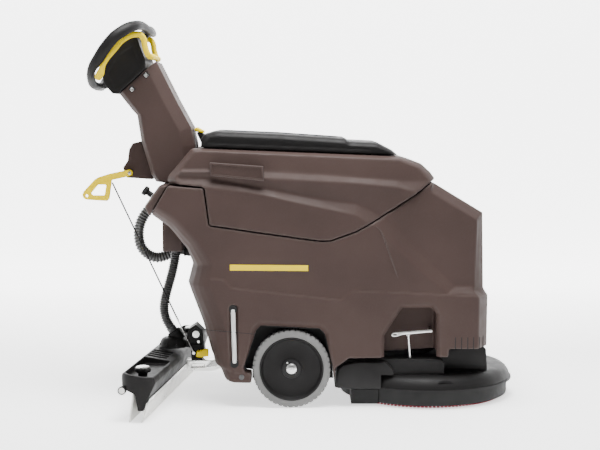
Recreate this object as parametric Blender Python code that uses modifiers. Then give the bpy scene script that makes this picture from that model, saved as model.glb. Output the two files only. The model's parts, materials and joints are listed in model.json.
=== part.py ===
"""Walk-behind wet dry floor scrubber: a disc brush head in front, a squeegee behind, two tanks between.

Metres, +Z up, +X towards the brush head, the operator's handle at -X. The origin is on the floor, under
the middle of the machine. Moving pieces have their origin on their joint's axis.
"""

import bmesh
import bpy
from math import cos, pi, radians, sin
from mathutils import Matrix, Vector

# Driving dimensions
GAP = 0.0003
SEAM_GAP = 0.003
BODY_HALF = 0.200
PANEL_HALF = 0.215
COLUMN_HALF = 0.090
WHEEL_RADIUS = 0.102
WHEEL_CENTRE = (-0.022, 0.102)
WHEEL_INNER = 0.166
WHEEL_OUTER = 0.2145
AXLE_RADIUS = 0.010
PIN_RADIUS = 0.004
BRUSH_CENTRE = (0.340, 0.0)
BRUSH_RADIUS = 0.214
DECK_LIP_RADIUS = 0.240
HEAD_PIVOT = (0.104, 0.100)
SQUEEGEE_HALF = 0.385
SQUEEGEE_AXIS = (-0.350, 0.0)
SQUEEGEE_YAW = radians(-6.5)
ARM_PIVOT = (-0.195, 0.088)
LEVER_PIVOT = (-0.458, 0.605)
CABLE_TOP = (-0.510, -0.034, 0.5832)
CABLE_FOOT = (-0.292, -0.040, 0.1168)
TANK_PIVOT = (0.350, 0.590)
LID_PIVOT = (0.258, 0.660)
BAR_PIVOT = (-0.393, 0.915)
HANDLE_RADIUS = 0.011
SAFETY_BAR_RADIUS = 0.009
DRAIN_HOSE_RADIUS = 0.016
SUCTION_HOSE_RADIUS = 0.0145

# Side outlines, as (x, z). The seam is the parting line between the lower housing and the dirty water tank.
SEAM = [
    (-0.340, 0.579), (-0.249, 0.572), (-0.236, 0.475), (-0.098, 0.455), (0.047, 0.435), (0.078, 0.435),
    (0.147, 0.460), (0.206, 0.493), (0.297, 0.553), (0.342, 0.587),
]
HOUSING_FRONT = [
    (0.350, 0.584), (0.477, 0.507), (0.481, 0.309), (0.493, 0.290), (0.492, 0.155), (0.387, 0.155),
    (0.385, 0.134), (0.127, 0.131), (0.093, 0.106), (0.088, 0.065),
]
HOUSING_REAR = [
    (-0.142, 0.065), (-0.201, 0.066), (-0.214, 0.095), (-0.229, 0.107), (-0.260, 0.216), (-0.290, 0.296),
    (-0.298, 0.319), (-0.285, 0.369), (-0.300, 0.408), (-0.345, 0.465), (-0.391, 0.498),
]
COLLAR = [(-0.343, 0.5785), (-0.371, 0.576), (-0.410, 0.522), (-0.396, 0.500)]
WHEELHOUSE = [
    (-0.1265, 0.0), (-0.1265, 0.090), (-0.1425, 0.0925), (-0.147, 0.106), (-0.114, 0.203), (-0.102, 0.2155),
    (0.051, 0.2075), (0.065, 0.193), (0.085, 0.109), (0.094, 0.0),
]
LEVER_RECESS = [(0.219, 0.10), (0.219, 0.190), (0.265, 0.261), (0.341, 0.263), (0.354, 0.246), (0.356, 0.10)]
COLUMN = [
    (-0.480, 0.816), (-0.445, 0.772), (-0.434, 0.760), (-0.424, 0.692), (-0.398, 0.602), (-0.385, 0.583),
    (-0.355, 0.580), (-0.340, 0.5805), (-0.279, 0.5755), (-0.281, 0.680), (-0.291, 0.728),
    (-0.330, 0.800), (-0.382, 0.904),
]
CONSOLE = [
    (-0.514, 0.838), (-0.495, 0.8168), (-0.4805, 0.8168), (-0.4075, 0.8822), (-0.4075, 0.905),
    (-0.419, 0.937), (-0.429, 0.9645), (-0.4515, 0.964), (-0.4735, 0.9495), (-0.4909, 0.9301),
    (-0.5169, 0.8861), (-0.521, 0.867), (-0.519, 0.850),
]
HANDLE_SIDE = [
    (-0.545, 0.040, 0.837), (-0.5485, 0.090, 0.844), (-0.545, 0.140, 0.8635), (-0.5365, 0.165, 0.886),
    (-0.520, 0.180, 0.9105), (-0.507, 0.187, 0.929), (-0.4925, 0.190, 0.947), (-0.4795, 0.188, 0.962),
    (-0.4635, 0.180, 0.975), (-0.448, 0.168, 0.986), (-0.4345, 0.150, 0.9925), (-0.425, 0.125, 0.996),
    (-0.418, 0.095, 0.9965), (-0.413, 0.065, 0.993), (-0.408, 0.030, 0.9875),
]
SAFETY_SIDE = [
    (-0.393, 0.030, 0.915), (-0.393, 0.078, 0.915), (-0.397, 0.096, 0.9155), (-0.403, 0.104, 0.926),
    (-0.4075, 0.106, 0.943), (-0.4095, 0.107, 0.9575), (-0.4175, 0.113, 0.9695), (-0.431, 0.123, 0.9705),
    (-0.446, 0.140, 0.9645), (-0.463, 0.154, 0.9515), (-0.479, 0.164, 0.931), (-0.4955, 0.170, 0.911),
    (-0.5075, 0.172, 0.892), (-0.5135, 0.172, 0.872), (-0.5245, 0.172, 0.8505),
]
DRAIN_ROUTE = [
    (-0.4042, 0.036, 0.5102), (-0.4143, 0.036, 0.5038), (-0.431, 0.036, 0.484), (-0.443, 0.036, 0.457),
    (-0.446, 0.036, 0.426), (-0.439, 0.036, 0.397), (-0.420, 0.036, 0.376), (-0.394, 0.036, 0.3675),
    (-0.364, 0.036, 0.376), (-0.346, 0.036, 0.3865), (-0.332, 0.036, 0.390), (-0.3226, 0.036, 0.390),
]
SUCTION_ROUTE = [
    (-0.340, -0.006, 0.3929), (-0.3403, -0.006, 0.383), (-0.3445, -0.006, 0.357), (-0.352, -0.006, 0.325),
    (-0.3615, -0.005, 0.292), (-0.3705, -0.004, 0.258), (-0.374, -0.002, 0.229), (-0.3685, -0.001, 0.201),
    (-0.3556, 0.0, 0.1773), (-0.3500, 0.0, 0.16865),
]

PARTS = None
CUTTERS = None


def clear_scene():
    for obj in list(bpy.data.objects):
        bpy.data.objects.remove(obj)


def collection(name):
    made = bpy.data.collections.new(name)
    bpy.context.scene.collection.children.link(made)
    return made


def material(name, colour, roughness=0.5, metallic=0.0):
    made = bpy.data.materials.new(name)
    made.use_nodes = True
    shader = made.node_tree.nodes["Principled BSDF"]
    shader.inputs["Base Color"].default_value = (*colour, 1.0)
    shader.inputs["Roughness"].default_value = roughness
    shader.inputs["Metallic"].default_value = metallic
    return made


LOOKS = {
    "body": ((0.105, 0.085, 0.078), 0.45, 0.0),
    "black": ((0.025, 0.024, 0.023), 0.40, 0.0),
    "yellow": ((0.90, 0.72, 0.02), 0.38, 0.0),
    "steel": ((0.62, 0.62, 0.60), 0.25, 1.0),
    "tyre": ((0.45, 0.45, 0.45), 0.75, 0.0),
    "rubber": ((0.02, 0.02, 0.02), 0.70, 0.0),
    "bristle": ((0.30, 0.02, 0.04), 0.60, 0.0),
    "blade": ((0.75, 0.74, 0.70), 0.35, 0.0),
    "clear": ((0.85, 0.85, 0.83), 0.15, 0.0),
    "frame": ((0.08, 0.08, 0.08), 0.50, 1.0),
}


def add(name, mesh, look, origin=(0, 0, 0)):
    """Puts a world-space mesh in the scene as a node whose own origin is at the given place."""
    mesh.transform(Matrix.Translation(-Vector(origin)))
    obj = bpy.data.objects.new(name, mesh)
    obj.location = origin
    colour, roughness, metallic = LOOKS[look]
    mesh.materials.append(material(name, colour, roughness, metallic))
    mesh.set_sharp_from_angle(angle=radians(35))
    PARTS.objects.link(obj)
    return obj


def cutter(name, mesh):
    obj = bpy.data.objects.new(name, mesh)
    obj.hide_render = True
    obj.display_type = "WIRE"
    CUTTERS.objects.link(obj)
    return obj


def to_mesh(bm, name):
    bmesh.ops.recalc_face_normals(bm, faces=bm.faces)
    mesh = bpy.data.meshes.new(name)
    bm.to_mesh(mesh)
    bm.free()
    mesh.shade_smooth()
    return mesh


def prism(name, outline, low, high):
    """The side outline pushed from low to high along Y."""
    bm = bmesh.new()
    face = bm.faces.new([bm.verts.new((x, low, z)) for x, z in outline])
    grown = bmesh.ops.extrude_face_region(bm, geom=[face])["geom"]
    far = [vert for vert in grown if isinstance(vert, bmesh.types.BMVert)]
    bmesh.ops.translate(bm, verts=far, vec=(0, high - low, 0))
    return to_mesh(bm, name)


def block(name, low, high):
    bm = bmesh.new()
    bmesh.ops.create_cube(bm, size=1.0)
    low, high = Vector(low), Vector(high)
    bmesh.ops.scale(bm, vec=high - low, verts=bm.verts)
    bmesh.ops.translate(bm, vec=(low + high) / 2, verts=bm.verts)
    return to_mesh(bm, name)


def rod(name, start, end, radius, segments=16, end_radius=None):
    """A cylinder, or a cone, from start to end."""
    start, end = Vector(start), Vector(end)
    way = end - start
    bm = bmesh.new()
    bmesh.ops.create_cone(
        bm, cap_ends=True, segments=segments, radius1=radius,
        radius2=radius if end_radius is None else end_radius, depth=way.length,
    )
    turn = way.to_track_quat("Z", "Y").to_matrix().to_4x4()
    bmesh.ops.transform(bm, matrix=Matrix.Translation((start + end) / 2) @ turn, verts=bm.verts)
    return to_mesh(bm, name)


def turned(name, profile, centre, axis="Z", segments=32):
    """A closed profile of (radius, height) turned about an axis through the centre."""
    bm = bmesh.new()
    verts = [bm.verts.new((radius, 0, height)) for radius, height in profile]
    edges = [bm.edges.new((a, b)) for a, b in zip(verts, verts[1:] + verts[:1])]
    bmesh.ops.spin(
        bm, geom=verts + edges, cent=(0, 0, 0), axis=(0, 0, 1), angle=2 * pi, steps=segments, use_merge=True,
    )
    bmesh.ops.remove_doubles(bm, verts=bm.verts, dist=1e-6)
    loose = [edge for edge in bm.edges if not edge.link_faces]
    bmesh.ops.delete(bm, geom=loose, context="EDGES")
    if axis == "Y":
        bmesh.ops.rotate(bm, matrix=Matrix.Rotation(-pi / 2, 3, "X"), verts=bm.verts)
    bmesh.ops.translate(bm, vec=centre, verts=bm.verts)
    return to_mesh(bm, name)


def smooth_route(points, steps):
    """Points read from one smooth curve through the route's own points."""
    points = [Vector(p) for p in points]
    padded = [2 * points[0] - points[1]] + points + [2 * points[-1] - points[-2]]
    route = []
    for a, b, c, d in zip(padded, padded[1:], padded[2:], padded[3:]):
        for step in range(steps):
            t = step / steps
            bend = (2 * a - 5 * b + 4 * c - d) * t**2 + (3 * b - a - 3 * c + d) * t**3
            route.append(0.5 * (2 * b + (c - a) * t + bend))
    return route + [points[-1]]


def tube(name, points, radius, look, origin=(0, 0, 0), resolution=2):
    """A round bar or hose along the points, as a curve with filled caps."""
    data = bpy.data.curves.new(name, "CURVE")
    data.dimensions = "3D"
    spline = data.splines.new("POLY")
    spline.points.add(len(points) - 1)
    for point, place in zip(spline.points, points):
        point.co = (*(Vector(place) - Vector(origin)), 1.0)
    data.bevel_depth = radius
    data.bevel_resolution = resolution
    data.use_fill_caps = True
    obj = bpy.data.objects.new(name, data)
    obj.location = origin
    colour, roughness, metallic = LOOKS[look]
    data.materials.append(material(name, colour, roughness, metallic))
    PARTS.objects.link(obj)
    return obj


def bevel(obj, width, segments=1, angle=60):
    made = obj.modifiers.new("Bevel", "BEVEL")
    made.width = width
    made.segments = segments
    made.limit_method = "ANGLE"
    made.angle_limit = radians(angle)
    made.use_clamp_overlap = False


def boolean(obj, other, operation="DIFFERENCE"):
    made = obj.modifiers.new(other.name, "BOOLEAN")
    made.operation = operation
    made.object = other
    made.solver = "EXACT"


def cut(obj, name, mesh):
    boolean(obj, cutter(name, mesh))


def join(obj, name, mesh, width=0.0):
    other = cutter(name, mesh)
    if width:
        bevel(other, width)
    boolean(obj, other, "UNION")


def offset(line, distance, closed=False):
    """The outline moved to its left by the distance, with mitred corners."""
    moved = []
    count = len(line)
    for i, (x, z) in enumerate(line):
        before = line[i - 1] if (closed or i > 0) else None
        after = line[(i + 1) % count] if (closed or i < count - 1) else None
        normals = []
        for a, b in ((before, (x, z)), ((x, z), after)):
            if a is not None and b is not None:
                way = Vector((b[0] - a[0], b[1] - a[1])).normalized()
                normals.append(Vector((-way.y, way.x)))
        mean = sum(normals, Vector((0, 0))).normalized()
        reach = distance / mean.dot(normals[0])
        moved.append((x + mean.x * reach, z + mean.y * reach))
    return moved


def both_sides(half):
    return ((half, 1), (-half, -1))


def lower_housing():
    outline = SEAM + HOUSING_FRONT + HOUSING_REAR
    obj = add("lower_housing", prism("lower_housing", outline, -BODY_HALF, BODY_HALF), "body")
    bevel(obj, 0.008)
    panel = [
        (-0.236, 0.470), (-0.098, 0.452), (0.047, 0.432), (0.078, 0.432), (0.147, 0.457), (0.200, 0.486),
        (0.386, 0.311), (0.482, 0.304), (0.488, 0.290), (0.488, 0.160), (0.380, 0.139), (0.127, 0.135),
        (0.096, 0.110), (-0.142, 0.070), (-0.198, 0.070), (-0.222, 0.110), (-0.235, 0.216), (-0.240, 0.300),
    ]
    join(obj, "side_panels", prism("side_panels", panel, -PANEL_HALF, PANEL_HALF), 0.008)
    for inner, side in both_sides(0.150):
        low, high = sorted((inner, side * 0.3))
        cut(obj, f"wheelhouse_{side}", prism("wheelhouse", WHEELHOUSE, low, high))
    cut(obj, "under_rear", block("under_rear", (-0.35, -0.1505, 0.0), (0.13, 0.1505, 0.134)))
    under_front = [(0.080, 0.0), (0.080, 0.141), (0.30, 0.158), (0.3795, 0.168), (0.3795, 0.0)]
    cut(obj, "under_front", prism("under_front", under_front, -0.139, 0.139))
    under_sides = [
        (0.080, 0.0), (0.080, 0.1375), (0.219, 0.1385), (0.300, 0.1435), (0.3795, 0.1490), (0.3795, 0.0),
    ]
    cut(obj, "under_sides", prism("under_sides", under_sides, -0.188, 0.188))
    nose = [(0.36, 0.0), (0.36, 0.192), (0.52, 0.205), (0.52, 0.0)]
    cut(obj, "under_nose", prism("under_nose", nose, -0.139, 0.139))
    cut(obj, "lever_recess", prism("lever_recess", LEVER_RECESS, -0.30, -0.152))
    cut(obj, "rear_channel", block("rear_channel", (-0.40, -0.078, 0.0), (-0.206, 0.078, 0.352)))
    cut(obj, "battery_well", block("battery_well", (-0.191, -0.140, 0.1795), (0.346, 0.140, 0.60)))
    bay = [
        (-0.226, 0.65), (-0.226, 0.380), (-0.200, 0.278), (0.465, 0.278), (0.465, 0.499), (0.345, 0.571),
        (0.330, 0.65),
    ]
    cut(obj, "upper_bay", prism("upper_bay", bay, -0.188, 0.188))
    slot = block("tube_slot", (-0.185, -0.23, 0.105), (-0.159, -0.2045, 0.272))
    cut(obj, "tube_slot", slot)


def collar_and_lug():
    collar = add("hose_collar", prism("hose_collar", COLLAR, -0.188, 0.188), "body")
    bevel(collar, 0.003)
    lug = [(-0.371, 0.4815), (-0.3462, 0.4638), (-0.3183, 0.4285), (-0.3165, 0.3935), (-0.371, 0.3935)]
    made = add("hose_lug", prism("hose_lug", lug, -0.060, 0.014), "body")
    bevel(made, 0.003)
    cuff_start, cuff_end = (-0.3218, 0.036, 0.390), (-0.3028, 0.036, 0.390)
    add("drain_cuff", rod("drain_cuff", cuff_start, cuff_end, 0.0195, 16), "black")


def chassis():
    plate = block("chassis_plate", (-0.200, -0.130, 0.1195), (0.118, 0.130, 0.1335))
    obj = add("chassis_plate", plate, "frame")
    x, z = WHEEL_CENTRE
    for inner, side in both_sides(0.100):
        low, high = sorted((inner, side * 0.125))
        axle_block = block("axle_block", (x - 0.028, low, 0.082), (x + 0.028, high, 0.125))
        join(obj, f"axle_block_{side}", axle_block)
        low, high = sorted((side * 0.021, side * 0.031))
        join(obj, f"arm_ear_{side}", block("arm_ear", (-0.2045, low, 0.074), (-0.180, high, 0.125)))
        low, high = sorted((side * 0.104, side * 0.1295))
        join(obj, f"head_ear_{side}", block("head_ear", (0.094, low, 0.088), (0.116, high, 0.125)))
    bore = rod("axle_bore", (x, -0.2, z), (x, 0.2, z), AXLE_RADIUS + GAP)
    cut(obj, "axle_bore", bore)
    arm_x, arm_z = ARM_PIVOT
    bore = rod("arm_bore", (arm_x, -0.06, arm_z), (arm_x, 0.06, arm_z), PIN_RADIUS + GAP, 12)
    cut(obj, "arm_bore", bore)
    head_x, head_z = HEAD_PIVOT
    bore = rod("head_bore", (head_x, -0.14, head_z), (head_x, 0.14, head_z), PIN_RADIUS + GAP, 12)
    cut(obj, "head_bore", bore)
    add("axle", rod("axle", (x, -0.199, z), (x, 0.199, z), AXLE_RADIUS), "steel")
    pin = rod("arm_pivot_pin", (arm_x, -0.034, arm_z), (arm_x, 0.034, arm_z), PIN_RADIUS, 12)
    add("arm_pivot_pin", pin, "steel")
    pin = rod("head_pivot_shaft", (head_x, -0.170, head_z), (head_x, 0.170, head_z), PIN_RADIUS, 12)
    add("head_pivot_shaft", pin, "steel")


def wheel(side, name):
    x, z = WHEEL_CENTRE
    face, back = WHEEL_OUTER, WHEEL_INNER
    tyre = [
        (0.0835, face - 0.002), (0.097, face), (WHEEL_RADIUS, face - 0.006), (WHEEL_RADIUS, back + 0.006),
        (0.097, back), (0.0835, back + 0.002),
    ]
    rim = [
        (AXLE_RADIUS + GAP, face - 0.010), (0.022, face - 0.010), (0.030, face - 0.014), (0.072, face - 0.014),
        (0.078, face - 0.004), (0.0832, face - 0.004), (0.0832, back + 0.004), (0.078, back + 0.004),
        (0.072, back + 0.012), (0.024, back + 0.012), (0.024, back + 0.002), (AXLE_RADIUS + GAP, back + 0.002),
    ]
    cap = [
        (0, face - 0.0097), (0.015, face - 0.0097), (0.015, face - 0.005), (0.011, face - 0.002),
        (0, face - 0.002),
    ]
    for piece, profile, look, segments in (
        ("tyre", tyre, "tyre", 40), ("rim", rim, "black", 32), ("hub_cap", cap, "steel", 16),
    ):
        mesh = turned(f"{piece}_{name}", [(r, side * y) for r, y in profile], (x, 0, z), "Y", segments)
        add(f"{piece}_{name}", mesh, look, (x, 0, z))


def inner_units():
    for name, low in (("battery_rear", -0.187), ("battery_front", 0.079)):
        obj = add(name, block(name, (low, -0.0875, 0.1800), (low + 0.260, 0.0875, 0.390)), "black")
        bevel(obj, 0.004)
    turbine = rod("suction_turbine", (0.405, 0.0, 0.290), (0.405, 0.0, 0.405), 0.054, 20)
    add("suction_turbine", turbine, "black")
    obj = add("control_unit", block("control_unit", (0.352, 0.085, 0.2785), (0.455, 0.175, 0.350)), "frame")
    bevel(obj, 0.003)


def level_gauge():
    low, high = (-0.1698, 0.1165), (-0.1737, 0.2600)
    tube_mesh = rod("level_tube", (-0.1735, -0.2100, 0.2534), (-0.1700, -0.2100, 0.1229), 0.005, 12)
    add("level_tube", tube_mesh, "clear")
    for name, (x, z) in (("level_fitting_top", high), ("level_fitting_bottom", low)):
        mesh = block(name, (x - 0.009, -0.2148, z - 0.0060), (x + 0.009, -0.2052, z + 0.0060))
        bevel(add(name, mesh, "rubber"), 0.002)


def dirty_tank():
    bottom = offset(SEAM, SEAM_GAP)
    outline = bottom + [
        (0.352, 0.5955), (0.340, 0.612), (0.315, 0.635), (0.262, 0.6525), (-0.262, 0.6735), (-0.283, 0.6735),
        (-0.344, 0.602), (-0.346, 0.590),
    ]
    pivot = (TANK_PIVOT[0], 0, TANK_PIVOT[1])
    obj = add("dirty_water_tank", prism("dirty_water_tank", outline, -0.186, 0.186), "body", pivot)
    bevel(obj, 0.004)
    ridge = [(-0.335, 0.600), (0.330, 0.585), (0.342, 0.600), (0.300, 0.611), (-0.095, 0.620), (-0.320, 0.625)]
    lower = offset(SEAM[2:8], 0.006) + [(0.120, 0.545), (-0.050, 0.575), (-0.228, 0.580)]
    for name, shape, half, width in (
        ("tank_ridge", ridge, 0.203, 0.004), ("tank_side", lower, 0.212, 0.008),
    ):
        join(obj, name, prism(name, shape, -half, half), width)
    grip = [(-0.232, 0.639), (-0.095, 0.629), (-0.093, 0.592), (-0.229, 0.605)]
    join(obj, "tank_grips", prism("tank_grips", grip, -0.2125, 0.2125), 0.003)
    hollow = [
        (-0.228, 0.645), (-0.224, 0.488), (-0.095, 0.466), (0.047, 0.446), (0.078, 0.446), (0.142, 0.470),
        (0.200, 0.502), (0.245, 0.535), (0.245, 0.632),
    ]
    cut(obj, "tank_hollow", prism("tank_hollow", hollow, -0.176, 0.176))
    cut(obj, "tank_neck", block("tank_neck", (-0.219, -0.134, 0.61), (0.180, 0.134, 0.75)))
    cut(obj, "column_recess", block("column_recess", (-0.40, -0.0985, 0.50), (-0.2735, 0.0985, 0.75)))


def tank_lid():
    pivot = (LID_PIVOT[0], 0, LID_PIVOT[1])
    outline = [
        (-0.260, 0.6770), (0.190, 0.6590), (0.256, 0.6570), (0.240, 0.6700), (0.202, 0.6900), (0.128, 0.6930),
        (0.118, 0.7010), (-0.060, 0.7130), (-0.223, 0.7200), (-0.250, 0.7120), (-0.260, 0.7000),
    ]
    obj = add("tank_lid", prism("tank_lid", outline, -0.155, 0.155), "black", pivot)
    bevel(obj, 0.006)
    latch = [(-0.2655, 0.6840), (-0.2590, 0.6840), (-0.2590, 0.7080), (-0.2760, 0.7150), (-0.2800, 0.7130)]
    join(obj, "lid_latch", prism("lid_latch", latch, -0.030, 0.030))
    tab = [(-0.2865, 0.7216), (-0.2810, 0.7161), (-0.2618, 0.7121), (-0.2618, 0.7181), (-0.2800, 0.7281)]
    add("lid_tab", prism("lid_tab", tab, -0.032, 0.032), "yellow", pivot)
    slope = (0.6590 - 0.6770) / 0.450
    low_z = 0.6770 - GAP - 0.0020
    bar = [(-0.252, low_z - 0.0003), (0.186, low_z - 0.0003 + slope * 0.438)]
    seal = bar + [(x, z + 0.0020) for x, z in reversed(bar)]
    ring = add("lid_seal", prism("lid_seal", seal, -0.148, 0.148), "rubber", pivot)
    cut(ring, "seal_hole", block("seal_hole", (-0.240, -0.137, 0.60), (0.176, 0.137, 0.75)))
    cage = rod("float_filter", (-0.150, 0, 0.585), (-0.150, 0, 0.6695), 0.034, 16)
    add("float_filter", cage, "black", pivot)


def column():
    inner = offset(COLUMN, 0.008, closed=True)
    for name, low, high, wall in (
        ("column_right", -COLUMN_HALF, -GAP, (-0.082, 0.01)), ("column_left", GAP, COLUMN_HALF, (-0.01, 0.082)),
    ):
        obj = add(name, prism(name, COLUMN, low, high), "body")
        cut(obj, f"{name}_hollow", prism(f"{name}_hollow", inner, *wall))
    bracket = [
        (-0.4275, 0.6905), (-0.451, 0.685), (-0.461, 0.668), (-0.465, 0.638), (-0.478, 0.619), (-0.468, 0.592),
        (-0.3955, 0.587), (-0.3995, 0.5985),
    ]
    obj = add("lever_bracket", prism("lever_bracket", bracket, -0.040, 0.040), "body")
    bevel(obj, 0.002)


def console():
    obj = add("console_housing", prism("console_housing", CONSOLE, -0.100, 0.100), "black")
    bevel(obj, 0.006)
    join(obj, "handle_stem_low", rod("handle_stem_low", (-0.508, 0, 0.848), (-0.5335, 0, 0.8395), 0.010, 16))
    join(obj, "handle_stem_high", rod("handle_stem_high", (-0.432, 0, 0.955), (-0.4146, 0, 0.9776), 0.008, 16))
    face_low, face_high = Vector((-0.5169, 0, 0.8861)), Vector((-0.4909, 0, 0.9301))
    along = (face_high - face_low).normalized()
    out = Vector((-along.z, 0, along.x))
    corners = [face_low + along * 0.002, face_high - along * 0.002]
    low = [corner + out * 0.0008 for corner in corners]
    high = [corner + out * 0.0038 for corner in reversed(corners)]
    plate = [(corner.x, corner.z) for corner in low + high]
    panel = add("console_panel", prism("console_panel", plate, -0.085, 0.085), "frame")
    middle = (face_low + face_high) / 2 + out * 0.0041
    button = middle + Vector((0, -0.045, 0))
    bore_mesh = rod("button_bore", button - out * 0.012, button + out * 0.012, 0.0094, 20)
    bore = cutter("button_bore", bore_mesh)
    boolean(obj, bore)
    boolean(panel, bore)
    for name, foot, radius, height, look in (
        ("program_dial", middle, 0.017, 0.014, "black"),
        ("start_button", button - out * 0.0035, 0.009, 0.0115, "yellow"),
    ):
        add(name, rod(name, foot, foot + out * height, radius, 20, radius * 0.9), look, foot)
    lens = [middle - along * 0.012, middle + along * 0.012]
    shape = [(p.x, p.z) for p in lens + [p + out * 0.002 for p in reversed(lens)]]
    add("battery_display", prism("battery_display", shape, 0.030, 0.066), "clear")


def handle():
    half = smooth_route(HANDLE_SIDE, 2)
    loop = half + [Vector((p.x, -p.y, p.z)) for p in reversed(half)]
    data = tube("handle_loop", loop, HANDLE_RADIUS, "black", resolution=2).data
    data.splines[0].use_cyclic_u = True
    data.use_fill_caps = False
    half = smooth_route(SAFETY_SIDE, 2)
    loop = [Vector((p.x, -p.y, p.z)) for p in reversed(half)] + half
    tube("safety_bar", loop, SAFETY_BAR_RADIUS, "yellow", (BAR_PIVOT[0], 0, BAR_PIVOT[1]))


def hoses():
    tube("drain_hose", smooth_route(DRAIN_ROUTE, 2), DRAIN_HOSE_RADIUS, "rubber", resolution=3)
    tube("suction_hose", smooth_route(SUCTION_ROUTE, 2), SUCTION_HOSE_RADIUS, "rubber", resolution=3)
    tube("lift_cable", [CABLE_TOP, CABLE_FOOT], 0.0015, "black", CABLE_TOP, 1)


def lift_lever():
    pivot = (LEVER_PIVOT[0], 0, LEVER_PIVOT[1])
    bar = [
        (-0.448, 0.6105), (-0.455, 0.6145), (-0.512, 0.6040), (-0.5480, 0.5920), (-0.5860, 0.5500),
        (-0.5840, 0.5400), (-0.5740, 0.5330), (-0.5180, 0.5300), (-0.5130, 0.5380), (-0.5070, 0.5860),
        (-0.4560, 0.5980), (-0.448, 0.6020),
    ]
    obj = add("lift_lever", prism("lift_lever", bar, -0.0555, -0.0415), "yellow", pivot)
    bevel(obj, 0.003)
    grip = [(-0.5440, 0.5740), (-0.5640, 0.5500), (-0.5590, 0.5450), (-0.5260, 0.5450), (-0.5210, 0.5740)]
    cut(obj, "lever_loop", prism("lever_loop", grip, -0.1, 0.0))
    pin = rod("cable_pin", (-0.510, -0.046, 0.587), (-0.510, -0.030, 0.587), 0.003, 12)
    join(obj, "cable_pin", pin)


def dosing_knob():
    way = Vector((-0.81, 0, 0.585)).normalized()
    foot = Vector((-0.3905, -0.120, 0.549)) + way * 0.0006
    profile = [(0, 0), (0.0075, 0), (0.0075, 0.014), (0.013, 0.016), (0.013, 0.027), (0, 0.027)]
    mesh = turned("dosing_knob", profile, (0, 0, 0), "Z", 16)
    mesh.transform(Matrix.Translation(foot) @ way.to_track_quat("Z", "Y").to_matrix().to_4x4())
    add("dosing_knob", mesh, "black", foot)


def brush_head():
    x, y = BRUSH_CENTRE
    pivot = (HEAD_PIVOT[0], 0, HEAD_PIVOT[1])
    deck = [
        (0, 0.084), (0.205, 0.084), (0.226, 0.080), (0.237, 0.062), (DECK_LIP_RADIUS, 0.047), (0.2225, 0.047),
        (0.219, 0.072), (0, 0.072),
    ]
    add("brush_deck", turned("brush_deck", deck, (x, y, 0), "Z", 48), "black", pivot)
    skirt = [(0.2275, 0.0467), (0.2275, 0.008), (0.2225, 0.008), (0.2225, 0.0467)]
    ring = add("splash_skirt", turned("splash_skirt", skirt, (x, y, 0), "Z", 48), "rubber", pivot)
    join(ring, "rear_apron", block("rear_apron", (0.134, -0.187, 0.005), (0.205, 0.187, 0.0440)))
    cut(ring, "brush_space", rod("brush_space", (x, y, -0.01), (x, y, 0.0475), 0.2225, 48))
    tail = [
        (0.0905, 0.0480), (0.0970, 0.0950), (0.0980, 0.1150), (0.1120, 0.1240), (0.3660, 0.1240),
        (0.3780, 0.1160), (0.3780, 0.0450), (0.1330, 0.0450),
    ]
    obj = add("deck_tail", prism("deck_tail", tail, -0.1865, 0.1865), "black", pivot)
    bevel(obj, 0.004)
    deck_space = rod("deck_space", (x, y, 0.0), (x, y, 0.0845), DECK_LIP_RADIUS + 0.0007, 48)
    cut(obj, "deck_space", deck_space)
    cut(obj, "ear_space", block("ear_space", (0.05, -0.1475, 0.080), (0.1255, 0.1475, 0.15)))
    cut(obj, "motor_space", block("motor_space", (0.200, -0.1315, 0.080), (0.40, 0.1315, 0.15)))
    bore_ends = [(pivot[0], end, pivot[2]) for end in (-0.1705, 0.1705)]
    cut(obj, "shaft_bore", rod("shaft_bore", *bore_ends, PIN_RADIUS + GAP, 12))
    cover = [
        (0.2005, 0.0848), (0.2005, 0.1240), (0.3300, 0.1260), (0.3700, 0.1480), (0.4850, 0.1510),
        (0.4950, 0.1400), (0.4980, 0.0848),
    ]
    obj = add("motor_cover", prism("motor_cover", cover, -0.130, 0.130), "black", pivot)
    bevel(obj, 0.006)
    cut(obj, "cover_space", block("cover_space", (0.210, -0.120, 0.06), (0.488, 0.120, 0.116)))
    add("brush_motor", rod("brush_motor", (x, y, 0.0845), (x, y, 0.1155), 0.075, 24), "frame", pivot)
    hub = (x, y, 0)
    disc = [
        (0, 0.0715), (0.030, 0.0715), (0.034, 0.050), (0.190, 0.050), (0.200, 0.044), (0.200, 0.0303),
        (0, 0.0303),
    ]
    add("brush_disc", turned("brush_disc", disc, hub, "Z", 32), "black", hub)
    fibres = [(0.110, 0.030), (0.200, 0.030), (BRUSH_RADIUS, 0.0), (0.110, 0.0)]
    add("brush_bristles", turned("brush_bristles", fibres, hub, "Z", 48), "bristle", hub)


def head_lift():
    pivot = (0.341, 0, 0.1985)
    bar = [(0.2400, 0.1865), (0.2400, 0.1935), (0.3440, 0.2025), (0.3460, 0.1955)]
    obj = add("head_lift_lever", prism("head_lift_lever", bar, -0.192, -0.180), "steel", pivot)
    bevel(obj, 0.001)
    cut(obj, "lever_slot", block("lever_slot", (0.2440, -0.1885, 0.180), (0.2580, -0.1835, 0.21)))
    top = (0.2830, -0.186, 0.1885)
    foot = (0.2888, -0.1758, 0.1264)
    add("head_lift_rod", rod("head_lift_rod", top, foot, 0.0025, 10), "steel", top)


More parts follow.
